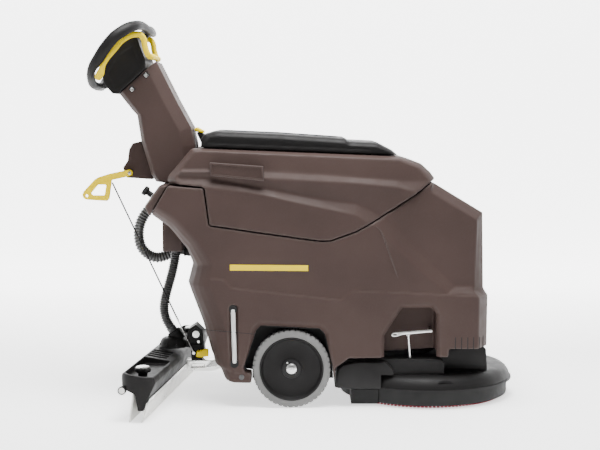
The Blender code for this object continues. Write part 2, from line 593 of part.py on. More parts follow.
def arm():
    x, z = ARM_PIVOT
    pivot = (x, 0, z)
    bar = [
        (-0.312, 0.0895), (-0.312, 0.060), (-0.240, 0.060), (-0.186, 0.078), (-0.182, 0.092),
        (-0.192, 0.101), (-0.205, 0.099), (-0.240, 0.0895),
    ]
    obj = add("arm_bar", prism("arm_bar", bar, -0.0195, 0.0195), "steel", pivot)
    cut(obj, "arm_bar_bore", rod("arm_bar_bore", (x, -0.06, z), (x, 0.06, z), PIN_RADIUS + GAP, 12))
    head = [
        (-0.3110, 0.1262), (-0.3110, 0.150), (-0.303, 0.178), (-0.285, 0.190), (-0.266, 0.172), (-0.262, 0.110),
        (-0.268, 0.0900), (-0.298, 0.0900), (-0.298, 0.1262),
    ]
    obj = add("arm_head", prism("arm_head", head, -0.030, 0.030), "black", pivot)
    bevel(obj, 0.003)
    hook = rod("cable_hook", (-0.290, -0.028, 0.1135), (-0.290, -0.045, 0.1135), 0.0025, 12)
    join(obj, "cable_hook", hook)
    cx, cy = SQUEEGEE_AXIS
    dome = [(0, 0.1240), (0.0385, 0.1240), (0.0385, 0.1340), (0.030, 0.1480), (0.020, 0.1520), (0, 0.1520)]
    nozzle = add("suction_nozzle", turned("suction_nozzle", dome, (cx, cy, 0), "Z", 24), "black", pivot)
    elbow = rod("nozzle_elbow", (-0.3340, 0, 0.1440), (-0.3496, 0.0, 0.1680), 0.0185, 16)
    join(nozzle, "nozzle_elbow", elbow)
    latch = [
        (-0.284, 0.104), (-0.281, 0.1195), (-0.254, 0.1245), (-0.250, 0.1230), (-0.250, 0.1045), (-0.276, 0.102),
    ]
    hinge = (-0.257, 0, 0.113)
    obj = add("release_latch", prism("release_latch", latch, -0.046, -0.0305), "yellow", hinge)
    bevel(obj, 0.002)


def squeegee():
    cx, cy = SQUEEGEE_AXIS
    turn = Matrix.Translation((cx, cy, 0)) @ Matrix.Rotation(SQUEEGEE_YAW, 4, "Z")
    pivot = (cx, cy, 0)

    def place(name, mesh, look, origin=None):
        mesh.transform(turn)
        return add(name, mesh, look, origin or pivot)

    body = [
        (-0.055, 0.1180), (-0.045, 0.1230), (0.020, 0.1120), (0.031, 0.0960), (0.004, 0.0300),
        (-0.008, 0.0300), (-0.016, 0.0720), (-0.052, 0.0860),
    ]
    obj = place("squeegee_body", prism("squeegee_body", body, -SQUEEGEE_HALF, SQUEEGEE_HALF), "black")
    bevel(obj, 0.003)
    for side, name in ((-1, "right"), (1, "left")):
        y = side * 0.310
        well = rod("knob_well", (-0.012, y, 0.104), (-0.012, y, 0.20), 0.0265, 20)
        well.transform(turn)
        cut(obj, f"knob_well_{name}", well)
        knob = [(0, 0.1043), (0.012, 0.1043), (0.012, 0.113), (0.021, 0.116), (0.020, 0.128), (0, 0.130)]
        spot = turn @ Vector((-0.012, y, 0))
        place(f"squeegee_knob_{name}", turned("squeegee_knob", knob, (-0.012, y, 0), "Z", 16), "steel", spot)
    rear = [(-0.0175, 0.0700), (-0.0225, 0.0705), (-0.0325, 0.0), (-0.0275, 0.0)]
    front = [(0.0132, 0.0505), (0.0177, 0.0490), (0.0035, 0.0012), (-0.0010, 0.0012)]
    place("blade_rear", prism("blade_rear", rear, -0.381, 0.381), "blade")
    place("blade_front", prism("blade_front", front, -0.381, 0.381), "blade")


def main():
    global PARTS, CUTTERS
    clear_scene()
    PARTS = collection("floor_scrubber")
    CUTTERS = collection("cutters")
    CUTTERS.hide_render = True
    lower_housing()
    collar_and_lug()
    chassis()
    wheel(-1, "right")
    wheel(1, "left")
    inner_units()
    level_gauge()
    dirty_tank()
    tank_lid()
    column()
    console()
    handle()
    hoses()
    lift_lever()
    dosing_knob()
    brush_head()
    head_lift()
    arm()
    squeegee()


main()
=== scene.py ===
"""The looks of a walk-behind wet dry floor scrubber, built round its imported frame.

Metres, +Z up, +X towards the brush head, the operator at -X. Moulded shells are carved as solids, then
softened like rotomoulded plastic. Each piece rides on the frame body that carries it.
"""
import json
from math import cos, pi, radians, sin, sqrt

import bmesh
import bpy
from mathutils import Matrix, Vector

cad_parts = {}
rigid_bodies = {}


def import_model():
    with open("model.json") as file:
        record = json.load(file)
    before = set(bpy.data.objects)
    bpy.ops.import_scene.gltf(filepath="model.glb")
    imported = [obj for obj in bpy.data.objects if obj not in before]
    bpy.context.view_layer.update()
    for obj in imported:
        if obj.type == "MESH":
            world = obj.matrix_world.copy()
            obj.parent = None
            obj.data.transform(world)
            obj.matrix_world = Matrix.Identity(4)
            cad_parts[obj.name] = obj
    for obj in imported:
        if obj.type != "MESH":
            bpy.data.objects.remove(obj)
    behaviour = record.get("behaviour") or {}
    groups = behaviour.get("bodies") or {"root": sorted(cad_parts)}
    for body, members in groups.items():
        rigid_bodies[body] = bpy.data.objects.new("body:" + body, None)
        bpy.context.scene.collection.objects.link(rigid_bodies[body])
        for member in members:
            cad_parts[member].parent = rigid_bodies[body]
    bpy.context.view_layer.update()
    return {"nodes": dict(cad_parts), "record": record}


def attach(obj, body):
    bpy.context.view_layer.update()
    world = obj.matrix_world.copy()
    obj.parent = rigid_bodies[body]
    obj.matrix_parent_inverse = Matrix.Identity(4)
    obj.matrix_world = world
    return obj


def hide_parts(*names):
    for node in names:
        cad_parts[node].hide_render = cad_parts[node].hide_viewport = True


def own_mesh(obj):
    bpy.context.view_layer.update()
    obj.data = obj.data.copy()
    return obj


for startup_object in list(bpy.data.objects):
    bpy.data.objects.remove(startup_object)
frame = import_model()

# Places shared with the frame
WHEEL_X, WHEEL_Z = -0.022, 0.102
WHEEL_BACK, WHEEL_FACE = 0.166, 0.2145
BRUSH_X = 0.34
SQUEEGEE_X, SQUEEGEE_YAW, SQUEEGEE_HALF = -0.35, radians(-6.5), 0.385
PANEL = 0.2148
MAIN = 0.2115
CHEEK = 0.197
DRAIN_RADIUS, DRAIN_PITCH = 0.0158, 0.008
SUCTION_RADIUS, SUCTION_PITCH = 0.0143, 0.0062
# The floor: how far it reaches, where it starts to rise, its curve's radius and its top
FLOOR_REACH, FLOOR_BACK, FLOOR_CURVE, FLOOR_TOP = 16.0, 3.0, 2.0, 6.0

# Side outlines, as (x, z)
SEAM = [
    (-0.34, 0.579), (-0.249, 0.572), (-0.236, 0.475), (-0.098, 0.455), (0.047, 0.435), (0.078, 0.435),
    (0.147, 0.46), (0.206, 0.493), (0.297, 0.553), (0.342, 0.587),
]
# Housing outline beyond the seam: x, z, and the way its edge turns in towards the machine's sides
HOUSING_EDGE = [
    (0.35, 0.584, -0.5, -0.85), (0.477, 0.507, -0.75, -0.65), (0.481, 0.309, -1.0, 0.0),
    (0.493, 0.29, -0.7, 0.0), (0.492, 0.155, -0.7, 0.0), (0.387, 0.155, 0.0, 0.0),
    (0.385, 0.134, 0.0, 0.0), (0.127, 0.131, 0.0, 0.0), (0.093, 0.106, 0.0, 0.0), (0.088, 0.065, 0.0, 0.0),
    (-0.142, 0.065, 0.0, 0.0), (-0.201, 0.066, 0.5, 0.0), (-0.214, 0.095, 0.7, 0.0),
    (-0.229, 0.107, 0.9, 0.0), (-0.26, 0.216, 1.0, 0.0), (-0.29, 0.296, 1.0, 0.0),
    (-0.298, 0.319, 1.0, 0.0), (-0.285, 0.369, 1.0, 0.1), (-0.3, 0.408, 0.6, 0.5),
    (-0.345, 0.465, 0.45, 0.5), (-0.391, 0.498, 0.35, 0.5),
]
TANK_EDGE = [
    (0.352, 0.5955, -0.8, -0.55), (0.34, 0.612, -0.75, -0.6), (0.315, 0.635, -0.6, -0.6),
    (0.262, 0.6525, -0.3, -0.5), (-0.262, 0.6735, 0.7, -0.4), (-0.283, 0.6735, 0.7, -0.5),
    (-0.344, 0.602, 0.9, -0.1), (-0.346, 0.59, 0.9, 0.0),
]
WHEELHOUSE = [
    (-0.1265, 0.0), (-0.1265, 0.09), (-0.1425, 0.0925), (-0.147, 0.106), (-0.114, 0.203), (-0.102, 0.2155),
    (0.051, 0.2075), (0.065, 0.193), (0.085, 0.109), (0.094, 0.0),
]
LEVER_RECESS = [(0.219, 0.1), (0.219, 0.19), (0.265, 0.261), (0.341, 0.263), (0.354, 0.246), (0.356, 0.1)]
CONSOLE = [
    (-0.514, 0.838), (-0.495, 0.8168), (-0.4805, 0.8168), (-0.4075, 0.8822), (-0.4075, 0.905),
    (-0.419, 0.937), (-0.429, 0.9645), (-0.4515, 0.964), (-0.4735, 0.9495), (-0.4909, 0.9301),
    (-0.5169, 0.8861), (-0.521, 0.867), (-0.519, 0.85),
]
# The side's style lines, each from the rear to the front through the same stations
CREASE = [
    (-0.42, 0.357), (-0.199, 0.3354), (-0.178, 0.3135), (0.026, 0.291), (0.105, 0.2825), (0.135, 0.3065),
    (0.194, 0.3045), (0.253, 0.302), (0.325, 0.2985), (0.382, 0.2955), (0.52, 0.29),
]
BAND_LOW = [
    (-0.42, 0.586), (-0.232, 0.575), (-0.093, 0.556), (0.026, 0.528), (0.145, 0.5036), (0.181, 0.4813),
    (0.194, 0.4736), (0.253, 0.4116), (0.325, 0.3445), (0.382, 0.3005), (0.52, 0.295),
]
BAND_HIGH = [
    (-0.42, 0.606), (-0.232, 0.598), (-0.093, 0.572), (0.026, 0.5485), (0.145, 0.533), (0.17, 0.5226),
    (0.225, 0.494), (0.284, 0.432), (0.3435, 0.3725), (0.403, 0.317), (0.52, 0.317),
]
RIDGE_LOW = [
    (-0.42, 0.6165), (-0.232, 0.6165), (-0.093, 0.5975), (0.026, 0.591), (0.145, 0.585), (0.2, 0.58),
    (0.25, 0.575), (0.3, 0.562), (0.36, 0.548), (0.42, 0.54), (0.52, 0.53),
]
RIDGE_HIGH = [
    (-0.42, 0.618), (-0.232, 0.618), (-0.093, 0.6156), (0.026, 0.609), (0.145, 0.6), (0.2, 0.596),
    (0.25, 0.592), (0.3, 0.59), (0.36, 0.588), (0.42, 0.586), (0.52, 0.584),
]
FOLD = [(0.196, 0.474), (0.212, 0.4555), (0.2376, 0.3858), (0.2557, 0.334)]
# Slots of the front grille: x, and how far out from the middle each one reaches
GRILLE = ((0.403, 0.215), (0.419, 0.215), (0.435, 0.215), (0.45, 0.215), (0.4655, 0.2098), (0.478, 0.1874))
HANDLE_SIDE = [
    (-0.545, 0.04, 0.837), (-0.5485, 0.09, 0.844), (-0.545, 0.14, 0.8635), (-0.5365, 0.165, 0.886),
    (-0.52, 0.18, 0.9105), (-0.507, 0.187, 0.929), (-0.4925, 0.19, 0.947), (-0.4795, 0.188, 0.962),
    (-0.4635, 0.18, 0.975), (-0.448, 0.168, 0.986), (-0.4345, 0.15, 0.9925), (-0.425, 0.125, 0.996),
    (-0.418, 0.095, 0.9965), (-0.413, 0.065, 0.993), (-0.408, 0.03, 0.9875),
]
SAFETY_SIDE = [
    (-0.393, 0.03, 0.915), (-0.393, 0.078, 0.915), (-0.397, 0.096, 0.9155), (-0.403, 0.104, 0.926),
    (-0.4075, 0.106, 0.943), (-0.4095, 0.107, 0.9575), (-0.4175, 0.113, 0.9695), (-0.431, 0.123, 0.9705),
    (-0.446, 0.14, 0.9645), (-0.463, 0.154, 0.9515), (-0.479, 0.164, 0.931), (-0.4955, 0.17, 0.911),
    (-0.5075, 0.172, 0.892), (-0.5135, 0.172, 0.872), (-0.5245, 0.172, 0.8505),
]
DRAIN_ROUTE = [
    (-0.4042, 0.036, 0.5102), (-0.4143, 0.036, 0.5038), (-0.431, 0.036, 0.484), (-0.443, 0.036, 0.457),
    (-0.446, 0.036, 0.426), (-0.439, 0.036, 0.397), (-0.42, 0.036, 0.376), (-0.394, 0.036, 0.3675),
    (-0.364, 0.036, 0.376), (-0.346, 0.036, 0.3865), (-0.332, 0.036, 0.39), (-0.3226, 0.036, 0.39),
]
SUCTION_ROUTE = [
    (-0.34, -0.006, 0.3929), (-0.3403, -0.006, 0.383), (-0.3445, -0.006, 0.357), (-0.352, -0.006, 0.325),
    (-0.3615, -0.005, 0.292), (-0.3705, -0.004, 0.258), (-0.374, -0.002, 0.229), (-0.3685, -0.001, 0.201),
    (-0.3556, 0.0, 0.1773), (-0.35, 0.0, 0.16865),
]


# Materials

def new_material(name, **sockets):
    made = bpy.data.materials.new(name)
    made.use_nodes = True
    shader = made.node_tree.nodes["Principled BSDF"]
    for socket, value in sockets.items():
        shader.inputs[socket.replace("_", " ")].default_value = value
    return made, made.node_tree, shader


def noise(tree, scale, detail=3.0, stretch=(1, 1, 1)):
    place = tree.nodes.new("ShaderNodeTexCoord")
    mapping = tree.nodes.new("ShaderNodeMapping")
    mapping.inputs["Scale"].default_value = stretch
    texture = tree.nodes.new("ShaderNodeTexNoise")
    texture.inputs["Scale"].default_value = scale
    texture.inputs["Detail"].default_value = detail
    tree.links.new(place.outputs["Object"], mapping.inputs["Vector"])
    tree.links.new(mapping.outputs["Vector"], texture.inputs["Vector"])
    return texture.outputs["Fac"]


def ramp(tree, factor, *stops):
    made = tree.nodes.new("ShaderNodeValToRGB")
    for place, colour in stops[2:]:
        made.color_ramp.elements.new(place)
    for element, (place, colour) in zip(made.color_ramp.elements, stops):
        element.position = place
        element.color = (*colour, 1.0) if len(colour) == 3 else colour
    tree.links.new(factor, made.inputs["Fac"])
    return made.outputs["Color"]


def spread(tree, factor, low, high, start=0.3, end=0.7):
    made = tree.nodes.new("ShaderNodeMapRange")
    for socket, value in (("From Min", start), ("From Max", end), ("To Min", low), ("To Max", high)):
        made.inputs[socket].default_value = value
    tree.links.new(factor, made.inputs["Value"])
    return made.outputs["Result"]


def mix(tree, factor, first, second):
    made = tree.nodes.new("ShaderNodeMix")
    made.data_type = "RGBA"
    tree.links.new(factor, made.inputs[0])
    for socket, value in ((made.inputs[6], first), (made.inputs[7], second)):
        if isinstance(value, tuple):
            socket.default_value = (*value, 1.0)
        else:
            tree.links.new(value, socket)
    return made.outputs[2]


def bump(tree, height, strength, distance, under=None):
    made = tree.nodes.new("ShaderNodeBump")
    made.inputs["Strength"].default_value = strength
    made.inputs["Distance"].default_value = distance
    tree.links.new(height, made.inputs["Height"])
    if under is not None:
        tree.links.new(under, made.inputs["Normal"])
    return made.outputs["Normal"]


def edges(tree, start, end):
    """High along the outer edges of a dense mesh, for a painted highlight where light catches them, with some
    handling wear.
    """
    geometry = tree.nodes.new("ShaderNodeNewGeometry")
    return spread(tree, geometry.outputs["Pointiness"], 0.0, 1.0, start, end)


def plastic(name, colour, rough, grain=900.0, depth=0.1, dust_and_highlight_share=0.35, spec=0.5):
    """Moulded plastic: a fine cast grain, slow random tone changes, dusty specks, and edges painted lighter
    as a highlight where light catches them, partly also wear.
    """
    made, tree, shader = new_material(name, Specular_IOR_Level=spec)
    darker = tuple(c * 0.9 for c in colour)
    lighter = tuple(min(1.0, c * 1.1) for c in colour)
    # A paler tone, used both for dust specks and for the painted edge highlight
    dust_and_highlight_tone = tuple(c + (0.55 - c) * dust_and_highlight_share * 0.5 for c in colour)
    cloud = ramp(tree, noise(tree, 5.0, 4.0), (0.35, darker), (0.68, lighter))
    speck = noise(tree, 260.0, 2.0)
    base = mix(tree, spread(tree, speck, 0.0, 0.16, 0.45, 0.75), cloud, dust_and_highlight_tone)
    # Painted highlight: the edges are lighter where light catches them, partly also handling wear
    base = mix(tree, edges(tree, 0.51, 0.56), base, dust_and_highlight_tone)
    tree.links.new(base, shader.inputs["Base Color"])
    tree.links.new(
        spread(tree, noise(tree, 34.0, 5.0), rough - 0.05, rough + 0.09), shader.inputs["Roughness"]
    )
    wave = bump(tree, noise(tree, 14.0, 1.0), 0.1, 0.004)
    tree.links.new(bump(tree, noise(tree, grain, 2.0), depth, 0.0006, wave), shader.inputs["Normal"])
    return made


def metal(name, colour, rough, stretch=(1, 1, 14)):
    """Plated or brushed steel with fine drawn lines and dull smudges."""
    made, tree, shader = new_material(name, Metallic=1.0)
    lines = noise(tree, 160.0, 2.0, stretch)
    smudge = noise(tree, 22.0, 4.0)
    dull = tuple(c * 0.72 for c in colour)
    tree.links.new(ramp(tree, smudge, (0.38, dull), (0.62, colour)), shader.inputs["Base Color"])
    tree.links.new(spread(tree, smudge, rough + 0.12, rough), shader.inputs["Roughness"])
    tree.links.new(bump(tree, lines, 0.12, 0.0004), shader.inputs["Normal"])
    return made


def rubber(name, colour, rough=0.62, dust=(0.3, 0.29, 0.27), amount=0.12):
    """Matt rubber with a pebbled skin and dust caught in it."""
    made, tree, shader = new_material(name, Specular_IOR_Level=0.2)
    dirt = spread(tree, noise(tree, 30.0, 6.0), 0.0, amount, 0.45, 0.8)
    darker = tuple(c * 0.85 for c in colour)
    base = ramp(tree, noise(tree, 9.0, 3.0), (0.35, darker), (0.65, colour))
    tree.links.new(mix(tree, dirt, base, dust), shader.inputs["Base Color"])
    tree.links.new(
        spread(tree, noise(tree, 60.0, 3.0), rough - 0.06, rough + 0.1), shader.inputs["Roughness"]
    )
    tree.links.new(bump(tree, noise(tree, 700.0, 2.0), 0.15, 0.0006), shader.inputs["Normal"])
    return made


def clear_plastic(name, colour, rough, passing):
    """Pale see-through plastic or polyurethane, cloudy inside and scuffed outside."""
    made, tree, shader = new_material(name, Transmission_Weight=passing, IOR=1.46)
    milky = tuple(c * 0.86 for c in colour)
    tree.links.new(
        ramp(tree, noise(tree, 26.0, 4.0), (0.35, milky), (0.65, colour)), shader.inputs["Base Color"]
    )
    tree.links.new(
        spread(tree, noise(tree, 90.0, 3.0), rough - 0.05, rough + 0.12), shader.inputs["Roughness"]
    )
    tree.links.new(bump(tree, noise(tree, 300.0, 2.0), 0.08, 0.0005), shader.inputs["Normal"])
    return made


# The lightening share given to plastic() sets how far dust specks and the painted edge highlight pale each
# plastic
LOOKS = {
    "body": plastic("taupe_plastic", (0.043, 0.0275, 0.024), 0.56, dust_and_highlight_share=0.06, spec=0.13),
    "black": plastic("black_plastic", (0.0065, 0.006, 0.006), 0.5, dust_and_highlight_share=0.03, spec=0.14),
    "yellow": plastic("yellow_plastic", (0.69, 0.505, 0.0), 0.55, depth=0.05, dust_and_highlight_share=0.02, spec=0.05),
    "steel": metal("zinc_plated_steel", (0.72, 0.72, 0.7), 0.22),
    "cable": metal("coated_wire_rope", (0.3, 0.3, 0.3), 0.35, (1, 1, 3)),
    "frame": plastic("black_paint", (0.02, 0.02, 0.021), 0.46, grain=500.0, dust_and_highlight_share=0.15, spec=0.4),
    "rubber": rubber("black_rubber", (0.01, 0.01, 0.01), amount=0.03),
    "hose": plastic("hose_vinyl", (0.018, 0.018, 0.018), 0.3, grain=1200.0, dust_and_highlight_share=0.1, spec=0.6),
    "tyre": rubber("grey_tread_rubber", (0.15, 0.15, 0.147), 0.76, (0.1, 0.095, 0.09), 0.3),
    "bristle": rubber("red_nylon", (0.34, 0.012, 0.03), 0.45, (0.2, 0.1, 0.1), 0.2),
    "blade": clear_plastic("pale_polyurethane", (0.8, 0.79, 0.75), 0.32, 0.25),
    "clear": clear_plastic("clear_tube", (0.9, 0.9, 0.88), 0.14, 0.35),
}


# Shapes

def to_mesh(bm, name):
    bmesh.ops.recalc_face_normals(bm, faces=bm.faces)
    mesh = bpy.data.meshes.new(name)
    bm.to_mesh(mesh)
    bm.free()
    return mesh


def solid(name, mesh):
    obj = bpy.data.objects.new(name, mesh)
    bpy.context.scene.collection.objects.link(obj)
    return obj


def loft(name, rings, closed=False):
    """A skin through rings of points, capped at both ends unless the rings close on themselves."""
    bm = bmesh.new()
    rows = [[bm.verts.new(point) for point in ring] for ring in rings]
    pairs = zip(rows, rows[1:] + rows[:1]) if closed else zip(rows, rows[1:])
    for first, second in pairs:
        for a, b, c, d in zip(first, first[1:] + first[:1], second[1:] + second[:1], second):
            bm.faces.new((a, b, c, d))
    if not closed:
        bm.faces.new(rows[0])
        bm.faces.new(rows[-1])
    return solid(name, to_mesh(bm, name))


def prism(name, outline, low, high):
    """The side outline, as (x, z), pushed from y = low to y = high."""
    return loft(name, [[(x, y, z) for x, z in outline] for y in (low, high)])


def sided(name, outline, side, near, far):
    """A prism between two distances from the middle on the given side."""
    return prism(name, outline, *sorted((side * near, side * far)))


def block(name, low, high):
    return prism(
        name, [(low[0], low[2]), (high[0], low[2]), (high[0], high[2]), (low[0], high[2])], low[1], high[1]
    )


def rod(name, start, end, radius, segments=24, end_radius=None):
    start, end = Vector(start), Vector(end)
    way = end - start
    bm = bmesh.new()
    last = radius if end_radius is None else end_radius
    bmesh.ops.create_cone(
        bm, cap_ends=True, segments=segments, radius1=radius, radius2=last, depth=way.length
    )
    turn = way.to_track_quat("Z", "Y").to_matrix().to_4x4()
    bmesh.ops.transform(bm, matrix=Matrix.Translation((start + end) / 2) @ turn, verts=bm.verts)
    return solid(name, to_mesh(bm, name))


def turned(name, profile, centre, axis=(0, 0, 1), segments=64, shape=None):
    """A closed profile of (radius, height) turned about an axis. shape(angle, radius, height) can vary it."""
    turn = Vector(axis).to_track_quat("Z", "Y").to_matrix()
    rings = []
    for i in range(segments):
        angle = 2 * pi * i / segments
        ring = []
        for radius, height in profile:
            if shape:
                radius, height = shape(angle, radius, height)
            ring.append(Vector(centre) + turn @ Vector((radius * cos(angle), radius * sin(angle), height)))
        rings.append(ring)
    obj = loft(name, rings, closed=True)
    weld(obj)
    return obj


def ridges(count, depth, beyond):
    """A shape for turned(): grip ridges on everything further out than the radius beyond."""
    def shape(angle, radius, height):
        return (radius * (1 + depth * cos(count * angle)) if radius > beyond else radius), height

    return shape


def weld(obj):
    bm = bmesh.new()
    bm.from_mesh(obj.data)
    bmesh.ops.remove_doubles(bm, verts=bm.verts, dist=1e-5)
    bmesh.ops.dissolve_degenerate(bm, edges=bm.edges, dist=1e-5)
    bmesh.ops.recalc_face_normals(bm, faces=bm.faces)
    bm.to_mesh(obj.data)
    bm.free()
    return obj


def smooth_route(points, steps):
    """Points read from one smooth curve through the route's own points."""
    points = [Vector(p) for p in points]
    padded = [2 * points[0] - points[1]] + points + [2 * points[-1] - points[-2]]
    route = []
    for a, b, c, d in zip(padded, padded[1:], padded[2:], padded[3:]):
        for step in range(steps):
            t = step / steps
            route.append(
                0.5 * (
                    2 * b + (c - a) * t + (2 * a - 5 * b + 4 * c - d) * t**2 + (3 * b - a - 3 * c + d) * t**3
                )
            )
    return route + [points[-1]]


def even(route, spacing):
    """The route read again at even steps along its length."""
    lengths = [0.0]
    for a, b in zip(route, route[1:]):
        lengths.append(lengths[-1] + (b - a).length)
    count = max(2, round(lengths[-1] / spacing))
    places, i = [], 0
    for step in range(count + 1):
        target = lengths[-1] * step / count
        while i < len(route) - 2 and lengths[i + 1] < target:
            i += 1
        share = (target - lengths[i]) / (lengths[i + 1] - lengths[i])
        places.append(route[i].lerp(route[i + 1], min(1.0, share)))
    return places, lengths[-1]


def sweep(name, route, section, sides=20, closed=False, up=(0, 1, 0)):
    """A bar along the route. section(i) gives its half width along up and its half width across."""
    rings = []
    count = len(route)
    for i, point in enumerate(route):
        before = route[i - 1] if closed or i else point
        after = route[(i + 1) % count] if closed or i < count - 1 else point
        way = (after - before).normalized()
        across = way.cross(Vector(up)).normalized()
        lift = across.cross(way)
        high, wide = section(i)
        rings.append([
            point + lift * (high * cos(2 * pi * k / sides)) + across * (wide * sin(2 * pi * k / sides))
            for k in range(sides)
        ])
    return loft(name, rings, closed)


def offset(line, distance):
    """The closed outline moved to its left by the distance, with mitred corners."""
    moved = []
    for before, (x, z), after in zip(line[-1:] + line[:-1], line, line[1:] + line[:1]):
        ways = [
            Vector((x - before[0], z - before[1])).normalized(),
            Vector((after[0] - x, after[1] - z)).normalized()
        ]
        normals = [Vector((-way.y, way.x)) for way in ways]
        mean = (normals[0] + normals[1]).normalized()
        reach = distance / mean.dot(normals[0])
        moved.append((x + mean.x * reach, z + mean.y * reach))
    return moved


def shrunk(outline, distance):
    """The clockwise outline drawn in by the distance, or let out by a negative one."""
    return offset(outline[::-1], distance)[::-1]


def bake(obj):
    """Applies the object's modifiers."""
    bpy.context.view_layer.update()
    graph = bpy.context.evaluated_depsgraph_get()
    mesh = bpy.data.meshes.new_from_object(obj.evaluated_get(graph))
    obj.modifiers.clear()
    obj.data = mesh
    return obj


def carve(obj, *steps):
    """Boolean steps, each (operation, solid). The solids are used up."""
    for operation, other in steps:
        made = obj.modifiers.new(other.name, "BOOLEAN")
        made.operation = {"cut": "DIFFERENCE", "join": "UNION", "keep": "INTERSECT"}[operation]
        made.object = other
        made.solver = "EXACT"
    bake(obj)
    for _, other in steps:
        bpy.data.objects.remove(other)
    return obj


def soften(obj, voxel, rounds=6, keep=1.0):
    """Turns a carved solid into a moulding: an even skin with every edge rounded."""
    remesh = obj.modifiers.new("Skin", "REMESH")
    remesh.mode = "VOXEL"
    remesh.voxel_size = voxel
    relax = obj.modifiers.new("Relax", "SMOOTH")
    relax.factor = 0.5
    relax.iterations = rounds
    if keep < 1.0:
        thin = obj.modifiers.new("Thin", "DECIMATE")
        thin.ratio = keep
    bake(obj)
    obj.data.shade_smooth()
    return obj


def rounded(obj, width, segments=3, angle=40):
    made = obj.modifiers.new("Bevel", "BEVEL")
    made.width = width
    made.segments = segments
    made.limit_method = "ANGLE"
    made.angle_limit = radians(angle)
    bake(obj)
    return crisp(obj)


def crisp(obj, angle=35):
    obj.data.shade_smooth()
    obj.data.set_sharp_from_angle(angle=radians(angle))
    return obj


def merge(name, parts):
    """Several solids as one object, kept as separate shells."""
    bm = bmesh.new()
    for part in parts:
        bm.from_mesh(part.data)
    mesh = bpy.data.meshes.new(name)
    bm.to_mesh(mesh)
    bm.free()
    for part in parts:
        bpy.data.objects.remove(part)
    return solid(name, mesh)


def piece(obj, body, look, *replaced, slot=None):
    """Puts the finished piece on its body with its material."""
    obj.data.materials.clear()
    obj.data.materials.append(LOOKS[look])
    for face in obj.data.polygons:
        face.material_index = 0
    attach(obj, body)
    if replaced:
        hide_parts(*replaced)
    return obj


def mirrored(points):
    return [(x, -y, z) for x, y, z in reversed(points)]


def side_body(name, lines):
    """A solid between two mirrored sides. Each line is ((x, z) points, half width), from the foot up."""
    rings = []
    for station in range(len(CREASE)):
        side = [(line[station][0], half, line[station][1]) for line, half in lines]
        rings.append(side + mirrored(side))
    return loft(name, rings)


# How far an outline's edge turns in at each half width: round corners, then flat chamfers
ROUND = ((0.105, 0.0), (0.15, 0.006), (0.178, 0.018), (0.196, 0.033), (0.207, 0.048), (0.219, 0.075))
CHAMFER = ((0.105, 0.0), (0.16, 0.0), (0.178, 0.013), (0.197, 0.028), (0.207, 0.036), (0.219, 0.046))


def wrapped(name, outline, turn_in):
    """The side outline as a solid whose edges turn in towards the sides."""
    rings = []
    for half, depth in turn_in:
        rings.append([(x + dx * depth, half, z + dz * depth) for x, z, dx, dz in outline])
    return loft(name, [[(x, -y, z) for x, y, z in ring] for ring in reversed(rings)] + rings)


def level(z, line):
    return [(x, z) for x, _ in line]


def raised(line, distance):
    return [(x, z + distance) for x, z in line]


